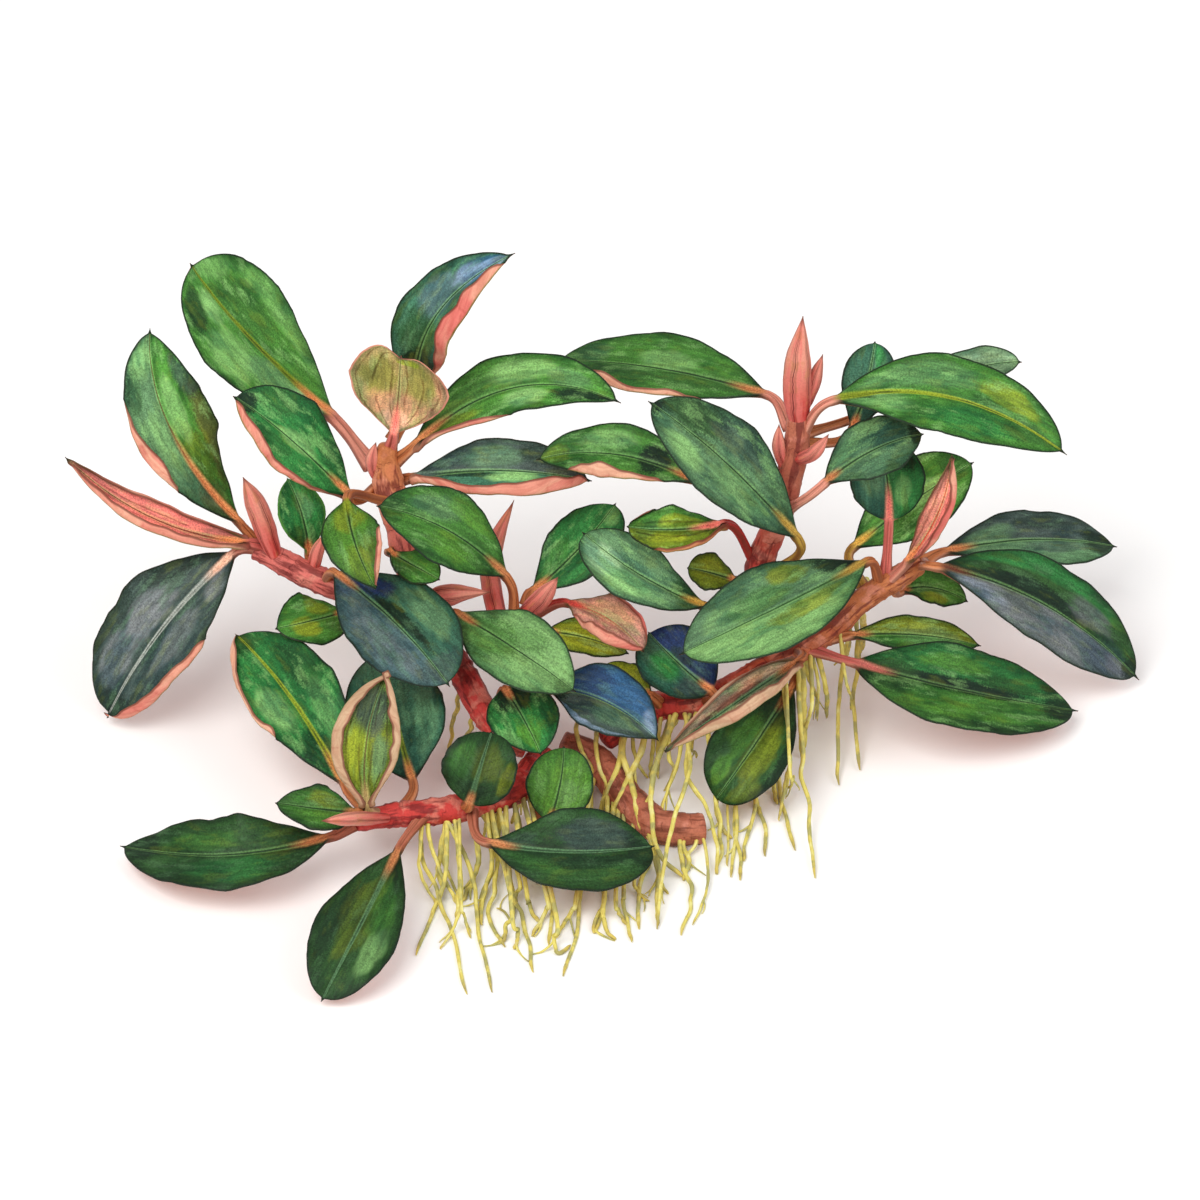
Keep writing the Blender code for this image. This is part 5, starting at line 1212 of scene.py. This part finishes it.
def half_section(leaf, along, hand, half, seed):
    """One side of a section: for each place (reach, sideways, up, slope, past the crease).

    After that list come the half width, the flap's width and how far it is creased.
    """
    curl, keys, shift = leaf.curl_left, leaf.flap_left, 1.9
    if hand > 0:
        curl, keys, shift = 0.0, leaf.flap_right, 0.0
    half *= FLAPPED_SIDE if keys else 1.0
    ragged = noise.noise(Vector((along * 11.0, seed * 5.3, hand * 4.0)))
    flap = flap_width(keys, along) * (1.0 + 0.30 * ragged)
    creased = ease(flap, 0.1, 0.8)
    zone = min(0.4 * half, 0.6)
    fade = math.sin(math.pi * min(1.0, max(0.0, along))) ** 0.5
    fold = leaf.fold * ease(along, 0.0, 0.12)

    def slope_at(place):
        return math.radians(
            fold + curl * fade * ease(place / half, CURL_STARTS, 1.0)
            + leaf.flap_turn * creased * ease(place, half - ROLL_BEFORE, half + ROLL_AFTER))

    reaches = [share * (half - zone) for share in TO_ZONE]
    reaches += [half - zone + share * (zone + flap) for share in IN_ZONE]
    ripple = leaf.wave * math.sin(2.0 * math.pi * leaf.waves * along + shift)
    fine = 0.3 * leaf.wave * math.sin(2.0 * math.pi * leaf.waves * 2.6 * along + seed)
    section = []
    sideways = up = last = 0.0
    for reach in reaches:
        step = (reach - last) / 3.0
        for index in range(3):
            turn = slope_at(last + step * (index + 0.5))
            sideways += math.cos(turn) * step
            up += math.sin(turn) * step
        last = reach
        share = min(1.0, reach / half)
        rise = (ripple * share ** 2 + fine * share ** 4) * math.sin(math.pi * along)
        section.append((reach, hand * sideways, up + rise, hand * slope_at(reach),
                        reach - half))
    return section, half, flap, creased


def blade_ring(leaf, along, length, seed):
    """One ring around the blade, with the numbers that its material reads."""
    centre, axis, side, normal = blade_frame(leaf, along)
    spread = ease(along, 0.0, 0.12)
    beak = leaf.petiole * (1.0 - 0.55 * ease(along, 0.0, 0.2)) * (1.0 - ease(along, 0.2, 0.9))
    tip = 0.42 * (1.0 - ease(along, 0.96, 1.0)) + 0.04
    blade_half = half_width(leaf, min(1.0, along / BLADE_ENDS))
    half = max(blade_half, beak, tip)
    ragged = noise.noise(Vector((along * 9.0, seed * 3.1, 0.0)))
    ragged += 0.5 * noise.noise(Vector((along * 27.0, seed * 3.1, 5.0)))
    half *= 1.0 + 0.03 * ragged * spread
    blade = sizes().leaf_thickness / MM
    thick = 2.0 * leaf.petiole * (1.0 - spread) + blade * spread
    thick *= 1.0 - 0.5 * ease(along, 0.8, 1.0)
    quilt = sizes().quilting / MM
    rib = leaf.petiole * (0.75 - 0.6 * along)
    sections = {hand: half_section(leaf, along, hand, half, seed) for hand in (1, -1)}
    points, place_values, flat_values, crease_values = [], [], [], []
    for hand, place, face in RING_ORDER:
        section, side_half, flap, creased = sections[hand]
        reach, sideways, up, slope, past = section[place]
        share = reach / (side_half + flap)
        lift = 0.5 * thick * math.sqrt(max(0.0, 1.0 - share ** 4)) * face
        if face > 0:
            groove = 0.30 * leaf.petiole * (1.0 - 0.6 * along) * spread
            lift -= groove * math.exp(-(reach / GROOVE_WIDTH) ** 2) * (1.0 - ease(along, 0.9, 1.0))
        else:
            lift -= rib * spread * math.exp(-(reach / RIB_WIDTH) ** 2) * (
                1.0 - ease(along, 0.75, 1.0))
        across = min(1.0, reach / side_half)
        vein = (along - VEIN_LEAN * across ** VEIN_CURVE) * VEINS + (0.5 if hand > 0 else 0.0)
        swell = quilt * math.cos(2.0 * math.pi * vein) * (1.0 - across ** 2) * across * 4.0
        lift += swell * spread * (1.0 - ease(along, 0.85, 1.0))
        notch = leaf.notch * math.exp(-(reach / NOTCH_WIDTH) ** 2) * ease(along, 0.78, 0.97)
        points.append(centre + side * (sideways - math.sin(slope) * lift)
                      + normal * (up + math.cos(slope) * lift) - axis * notch)
        above = 0.5 if place == PLACES - 1 else (1.0 if face > 0 else 0.0)
        place_values.append((along, hand * across, above))
        to_edge = min(side_half + flap - reach, (1.0 - along) * length + 0.12)
        flat_values.append((hand * reach, along * length, to_edge))
        crease_values.append((past, creased, 0.0))
    return points, place_values, flat_values, crease_values


def petiole_curve(leaf, share):
    """A point of the petiole from the stem's axis (0) to the blade's base (1)."""
    join, base = seen(*leaf.join), seen(*leaf.base)
    _, axis, _, _ = blade_frame(leaf, 0.0)
    reach = (base - join).length
    first = join.lerp(base, 0.35)
    second = base - axis * (0.35 * reach)
    back = 1.0 - share
    return (join * back ** 3 + first * (3.0 * share * back ** 2)
            + second * (3.0 * share ** 2 * back) + base * share ** 3)


def petiole_rings(leaf, length):
    """Rings from inside the stem to the blade's base, wider and flatter at the stem."""
    reach = (seen(*leaf.base) - seen(*leaf.join)).length
    count = max(8, int(reach * 1.3))
    _, axis, side, normal = blade_frame(leaf, 0.0)
    rings = []
    edge = PLACES - 1
    for index in range(count):
        share = 1.0 - (index + 1) / count
        here = petiole_curve(leaf, share)
        ahead = petiole_curve(leaf, min(1.0, share + 0.01))
        behind = petiole_curve(leaf, max(0.0, share - 0.01))
        direction = (ahead - behind).normalized()
        turn = axis.rotation_difference(direction)
        side, normal, axis = turn @ side, turn @ normal, direction
        sheath = max(0.0, 1.0 - share * reach / 7.0) ** 1.5
        wide = leaf.petiole * (1.0 + 0.7 * sheath)
        tall = leaf.petiole * (1.0 + 0.15 * sheath)
        points, place_values, flat_values, crease_values = [], [], [], []
        for hand, place, face in RING_ORDER:
            across = hand * place / edge
            rise = face * math.sqrt(max(0.0, 1.0 - across * across))
            if face > 0:
                rise -= 0.30 * math.exp(-(across / 0.35) ** 2)
            points.append(here + side * (across * wide) + normal * (rise * tall))
            back = (share - 1.0) * reach
            place_values.append((back / length, across, 0.5 + 0.5 * face * abs(rise)))
            flat_values.append((across * wide, back, 1.0))
            crease_values.append(NO_CREASE)
        rings.append((points, place_values, flat_values, crease_values))
    return rings[::-1]


def leaf_shell(leaf, seed):
    """A leaf's petiole and blade as one closed skin."""
    length = (seen(*leaf.tip) - seen(*leaf.base)).length
    places = []
    for index in range(BLADE_STEPS + 1):
        even = index / BLADE_STEPS
        eased = 0.5 - 0.5 * math.cos(math.pi * even)
        places.append(0.45 * even + 0.55 * eased)
    shell = Shell()
    shell.loft(petiole_rings(leaf, length)
               + [blade_ring(leaf, along, length, seed) for along in places])
    return shell


def curve_point(points, share):
    """A point of the Catmull-Rom curve through the points, share from 0 to 1."""
    place = share * (len(points) - 1)
    index = min(int(place), len(points) - 2)
    part = place - index
    first, second = points[max(0, index - 1)], points[index]
    third, fourth = points[index + 1], points[min(len(points) - 1, index + 2)]
    return 0.5 * (2.0 * second + (third - first) * part
                  + (2.0 * first - 5.0 * second + 4.0 * third - fourth) * part ** 2
                  + (3.0 * second - first - 3.0 * third + fourth) * part ** 3)


def add_tube(shell, points, radii, sides, kind, uneven):
    """Add a closed tube through points, with a radius at each and a slightly uneven skin."""
    rings = []
    direction = (points[1] - points[0]).normalized()
    side = direction.cross(UP).normalized()
    normal = side.cross(direction)
    travelled = 0.0
    total = sum((after - before).length for before, after in zip(points, points[1:]))
    for index, point in enumerate(points):
        before, after = points[max(0, index - 1)], points[min(len(points) - 1, index + 1)]
        if index:
            travelled += (point - before).length
        ahead = (after - before).normalized()
        turn = direction.rotation_difference(ahead)
        side, normal, direction = turn @ side, turn @ normal, ahead
        ring, place, flat = [], [], []
        for number in range(sides):
            angle = 2.0 * math.pi * number / sides
            outward = side * math.cos(angle) + normal * math.sin(angle)
            swell = uneven * noise.noise(point * 0.55 + outward)
            spot = point + outward * (radii[index] * (1.0 + swell))
            ring.append(spot)
            place.append((travelled, number / sides, travelled / total))
            flat.append(tuple(spot))
        rings.append((ring, place, flat))
    shell.loft(rings, kind)


def stem_line(stem, count):
    """Points and radii along a stem's path."""
    points = [seen(*place[:3]) for place in stem.path]
    radii = [Vector((place[3], 0.0, 0.0)) for place in stem.path]
    shares = [index / (count - 1) for index in range(count)]
    return [(curve_point(points, share), curve_point(radii, share).x) for share in shares]


def root_points(stem, root, generator):
    """Points of a root from its stem's axis to its tip, with a slight wander."""
    start = seen(*root[0])
    first = min((point for point, _ in stem_line(stem, 60)),
                key=lambda point: (point - start).length)
    points = [first] + [seen(*place) for place in root[1:]]
    phase = generator.uniform(0.0, 100.0)
    line = []
    for index in range(ROOT_RINGS):
        share = index / (ROOT_RINGS - 1)
        spot = curve_point(points, share)
        loose = ROOT_WANDER * math.sin(math.pi * share) ** 0.5
        spot.x += loose * noise.noise(Vector((share * 7.0, phase, 0.0)))
        spot.z += loose * 0.5 * noise.noise(Vector((share * 7.0, phase, 9.0)))
        spot.z = max(spot.z, 0.3)
        line.append(spot)
    return line


def stem_shell(stem):
    """A stem with its leaf scars, spikes and main roots."""
    generator = random.Random(stem.name)
    shell = Shell()
    length = sum((seen(*after[:3]) - seen(*before[:3])).length
                 for before, after in zip(stem.path, stem.path[1:]))
    line = stem_line(stem, max(24, int(length * 2.2)))
    spacing = sizes().scar_spacing / MM
    radii, travelled = [], 0.0
    for index, (point, radius) in enumerate(line):
        travelled += (point - line[index - 1][0]).length if index else 0.0
        loose = 1.3 * noise.noise(point * 0.22)
        away = abs((travelled / spacing + loose) % 1.0 - 0.5)
        swell = stem.scars * (math.exp(-((away - 0.09) / 0.05) ** 2) - 0.6 * math.exp(
            -(away / 0.03) ** 2))
        ends = min(1.0, index / 3.0 + 0.55, (len(line) - 1 - index) / 3.0 + 0.25)
        radii.append(radius * (1.0 + swell) * (1.0 if stem.torn and index < 4 else ends))
    add_tube(shell, [point for point, _ in line], radii, STEM_SIDES, STEM_KIND, 0.10)
    for start, middle, tip, radius in stem.spikes:
        points = [seen(*start), seen(*middle), seen(*tip)]
        shares = [index / (SPIKE_RINGS - 1) for index in range(SPIKE_RINGS)]
        widths = [radius * (0.70 + 0.30 * ease(share, 0.0, 0.35))
                  * max(0.03, 1.0 - ease(share, 0.52, 1.04) ** 1.1) for share in shares]
        add_tube(shell, [curve_point(points, share) for share in shares], widths, SPIKE_SIDES,
                 SPIKE_KIND, 0.06)
    radius = sizes().root_radius / MM
    for root in stem.roots:
        last = ROOT_RINGS - 1
        widths = [radius * (1.1 - 0.35 * index / last) * min(1.0, 0.35 + 0.2 * (last - index))
                  for index in range(ROOT_RINGS)]
        add_tube(shell, root_points(stem, root, generator), widths, ROOT_SIDES, ROOT_KIND, 0.25)
    return shell


def pixel_of(point):
    """The pixel at which a point in mm shows."""
    x, y = point.x + FOOTPRINT_CENTRE[0], point.y + FOOTPRINT_CENTRE[1]
    rise = point.z - VIEW_CENTRE_HEIGHT
    near = rise * SLOPE_SIN - y * SLOPE_COS
    scale = VIEW_DISTANCE / ((VIEW_DISTANCE - near) * MM_PER_PIXEL)
    return (PICTURE_CENTRE + x * scale,
            PICTURE_CENTRE - (y * SLOPE_SIN + rise * SLOPE_COS) * scale)


def fine_root_points(stem, sink, pixels, generator):
    """Points of a finer root: it leaves its stem's axis and sinks to the floor."""
    start = min((point for point, _ in stem_line(stem, 80)),
                key=lambda point: math.dist(pixel_of(point), pixels[0]))
    count = len(pixels) - 1
    points = [start]
    for index, pixel in enumerate(pixels[1:], 1):
        height = ROOT_REST + (start.z - ROOT_REST) * (1.0 - index / count) ** sink
        if len(pixel) == 3:
            height = pixel[2]
        points.append(seen(pixel[0], pixel[1], height))
    phase = generator.uniform(0.0, 100.0)
    line = []
    steps = STEPS_A_PIXEL * count
    for index in range(steps + 1):
        share = index / steps
        spot = curve_point(points, share)
        spot.x += 0.35 * share * noise.noise(Vector((share * 9.0, phase, 0.0)))
        spot.z = max(spot.z, 0.35)
        line.append(spot)
    return line


def twig_points(line, generator):
    """Points of a short side root that leaves a root and runs on beside it."""
    first = generator.randrange(len(line) // 3, int(len(line) * 0.85))
    start = line[first]
    ahead = (line[min(len(line) - 1, first + 2)] - line[first - 1]).normalized()
    turn = generator.choice((-1.0, 1.0)) * generator.uniform(0.35, 0.8)
    ahead = Matrix.Rotation(turn, 3, "Z") @ ahead
    reach = generator.uniform(2.5, 6.0)
    bend = generator.uniform(-0.5, 0.5)
    points = []
    for index in range(TWIG_RINGS):
        share = index / (TWIG_RINGS - 1)
        spot = start + Matrix.Rotation(bend * share, 3, "Z") @ ahead * (reach * share)
        spot.z = max(0.3, spot.z * (1.0 - 0.5 * share))
        points.append(spot)
    return points


def fine_roots_shell(stem):
    """The finer roots that one stem carries, with short side roots."""
    generator = random.Random(stem.name + " fine roots")
    shell = Shell()
    for thickness, sink, pixels in FINE_ROOTS.get(stem.name, ()):
        line = fine_root_points(stem, sink, pixels, generator)
        radius = sizes().fine_root_radius / MM * thickness
        last = len(line) - 1
        widths = [radius * (1.05 - 0.35 * index / last) * min(1.0, 0.35 + 0.25 * (last - index))
                  for index in range(last + 1)]
        add_tube(shell, line, widths, ROOT_SIDES, 0, 0.3)
        for _ in range(generator.choice((0, 1, 1, 2))):
            twig = twig_points(line, generator)
            last = TWIG_RINGS - 1
            widths = [0.6 * radius * (1.0 - 0.6 * index / last) for index in range(TWIG_RINGS)]
            add_tube(shell, twig, widths, TWIG_SIDES, 0, 0.3)
    return shell


# Operators

def add_leaves(starts):
    """Build the leaves whose names start like this and put each in place of its solid."""
    for seed, leaf in enumerate(LEAVES):
        if leaf.name.startswith(starts):
            thing = leaf_shell(leaf, seed).build(leaf.name + "_detail",
                                                 [leaf_finish(leaf, seed)])
            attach(thing, "root")
            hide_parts(leaf.name)


class PLANT_OT_stems(bpy.types.Operator):
    """Build the seven stems with their buds, spear leaves and main roots"""

    bl_idname = "plant.stems"
    bl_label = "Stems and main roots"

    def execute(self, context):
        for stem in STEMS:
            materials = [stem_finish(stem), spike_finish(stem.name), root_finish(stem.name)]
            thing = stem_shell(stem).build(stem.name + "_detail", materials)
            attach(thing, "root")
            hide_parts(stem.name)
        return {"FINISHED"}


class PLANT_OT_fine_roots(bpy.types.Operator):
    """Build the finer roots between the main ones"""

    bl_idname = "plant.fine_roots"
    bl_label = "Finer roots"

    def execute(self, context):
        for stem in STEMS:
            shell = fine_roots_shell(stem)
            if shell.points:
                thing = shell.build(stem.name + "_fine_roots",
                                    [root_finish(stem.name + "_fine")])
                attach(thing, "root")
        return {"FINISHED"}


class PLANT_OT_upper_left_leaves(bpy.types.Operator):
    """Build the eight leaves of the upper left shoot"""

    bl_idname = "plant.upper_left_leaves"
    bl_label = "Upper left shoot's leaves"

    def execute(self, context):
        add_leaves("upper_left_leaf")
        return {"FINISHED"}


class PLANT_OT_left_leaves(bpy.types.Operator):
    """Build the six leaves of the left stem"""

    bl_idname = "plant.left_leaves"
    bl_label = "Left stem's leaves"

    def execute(self, context):
        add_leaves("left_leaf")
        return {"FINISHED"}


class PLANT_OT_centre_leaves(bpy.types.Operator):
    """Build the leaves of the centre shoot and the trunk below it"""

    bl_idname = "plant.centre_leaves"
    bl_label = "Centre leaves"

    def execute(self, context):
        add_leaves(("centre_leaf", "trunk_leaf"))
        return {"FINISHED"}


class PLANT_OT_low_left_leaves(bpy.types.Operator):
    """Build the nine leaves of the low left rhizome"""

    bl_idname = "plant.low_left_leaves"
    bl_label = "Low left rhizome's leaves"

    def execute(self, context):
        add_leaves("low_left_leaf")
        return {"FINISHED"}


class PLANT_OT_upright_leaves(bpy.types.Operator):
    """Build the ten leaves of the upright shoot"""

    bl_idname = "plant.upright_leaves"
    bl_label = "Upright shoot's leaves"

    def execute(self, context):
        add_leaves("upright_leaf")
        return {"FINISHED"}


class PLANT_OT_right_leaves(bpy.types.Operator):
    """Build the thirteen leaves of the right stem"""

    bl_idname = "plant.right_leaves"
    bl_label = "Right stem's leaves"

    def execute(self, context):
        add_leaves("right_leaf")
        return {"FINISHED"}


def floor_finish():
    """A pale matt floor with a very faint unevenness."""
    make = Finish("floor_finish")
    node = make.add("ShaderNodeTexCoord")
    cloud = make.amount("ShaderNodeTexNoise", {}, {"Vector": node.outputs["Object"],
                                                   "Scale": 9.0, "Detail": 3.0}, "Fac")
    colour = make.mix(cloud * 0.03, tint("floor"), shade(0.8))
    return make.finish(colour, 0.8, cloud, FLOOR_RELIEF, 0.2)


def add_light(name, place, size, energy, colour):
    """Add a soft square light in metres that looks at the plant."""
    data = bpy.data.lights.new(name, "AREA")
    data.energy, data.size, data.color = energy, size, colour
    lamp = bpy.data.objects.new(name, data)
    lamp.location = place
    aim = Vector((0.0, 0.0, 0.03)) - Vector(place)
    lamp.rotation_euler = aim.to_track_quat("-Z", "Y").to_euler()
    bpy.context.scene.collection.objects.link(lamp)


class PLANT_OT_stage(bpy.types.Operator):
    """Build the pale floor, the soft light and the camera at the photograph's angle"""

    bl_idname = "plant.stage"
    bl_label = "Stage and camera"

    def execute(self, context):
        scene = context.scene
        mesh = bpy.data.meshes.new("floor")
        corners = [(-1, -1), (1, -1), (1, 1), (-1, 1)]
        mesh.from_pydata([(x * FLOOR_REACH, y * FLOOR_REACH, 0) for x, y in corners], [],
                         [(0, 1, 2, 3)])
        mesh.materials.append(floor_finish())
        floor = bpy.data.objects.new("floor", mesh)
        scene.collection.objects.link(floor)

        centre_x, centre_y = FOOTPRINT_CENTRE
        target = Vector((-centre_x, -centre_y, VIEW_CENTRE_HEIGHT)) * MM
        data = bpy.data.cameras.new("camera")
        data.sensor_width = SENSOR_WIDTH
        data.lens = SENSOR_WIDTH * VIEW_DISTANCE / (PICTURE_WIDTH * MM_PER_PIXEL)
        data.clip_start, data.clip_end = 0.1, 20.0
        camera = bpy.data.objects.new("camera", data)
        camera.location = target + TO_VIEWER * (VIEW_DISTANCE * MM)
        camera.rotation_euler = (math.pi / 2.0 - VIEW_ELEVATION, 0.0, 0.0)
        scene.collection.objects.link(camera)
        scene.camera = camera

        world = bpy.data.worlds.new("studio")
        world.use_nodes = True
        background = world.node_tree.nodes["Background"]
        background.inputs["Color"].default_value = (1.0, 1.0, 1.0, 1.0)
        background.inputs["Strength"].default_value = SKY_STRENGTH
        scene.world = world
        scene.view_settings.view_transform = "Standard"
        for light in LIGHTS:
            add_light(*light)
        return {"FINISHED"}


STEPS = (PLANT_OT_stage, PLANT_OT_stems, PLANT_OT_fine_roots, PLANT_OT_upper_left_leaves,
         PLANT_OT_left_leaves, PLANT_OT_centre_leaves, PLANT_OT_low_left_leaves,
         PLANT_OT_upright_leaves, PLANT_OT_right_leaves)


class PLANT_PT_panel(bpy.types.Panel):
    """The plant's steps, sizes and colours"""

    bl_idname = "PLANT_PT_panel"
    bl_label = "Bucephalandra"
    bl_space_type = "VIEW_3D"
    bl_region_type = "UI"
    bl_category = "Bucephalandra"

    def draw(self, context):
        for step in STEPS:
            self.layout.operator(step.bl_idname)
        for group in (context.scene.plant_sizes, context.scene.plant_colours):
            for name in group.__annotations__:
                self.layout.prop(group, name)


CLASSES = (PlantSizes, PlantColours, *STEPS, PLANT_PT_panel)


def register():
    """Register the classes and hang the settings on the scene."""
    for item in CLASSES:
        bpy.utils.register_class(item)
    bpy.types.Scene.plant_sizes = PointerProperty(type=PlantSizes)
    bpy.types.Scene.plant_colours = PointerProperty(type=PlantColours)


def unregister():
    """Remove the settings and the classes."""
    del bpy.types.Scene.plant_colours
    del bpy.types.Scene.plant_sizes
    for item in reversed(CLASSES):
        bpy.utils.unregister_class(item)


def main():
    """Build the whole scene."""
    register()
    for step in STEPS:
        group, name = step.bl_idname.split(".")
        getattr(getattr(bpy.ops, group), name)()


if __name__ == "__main__":
    main()
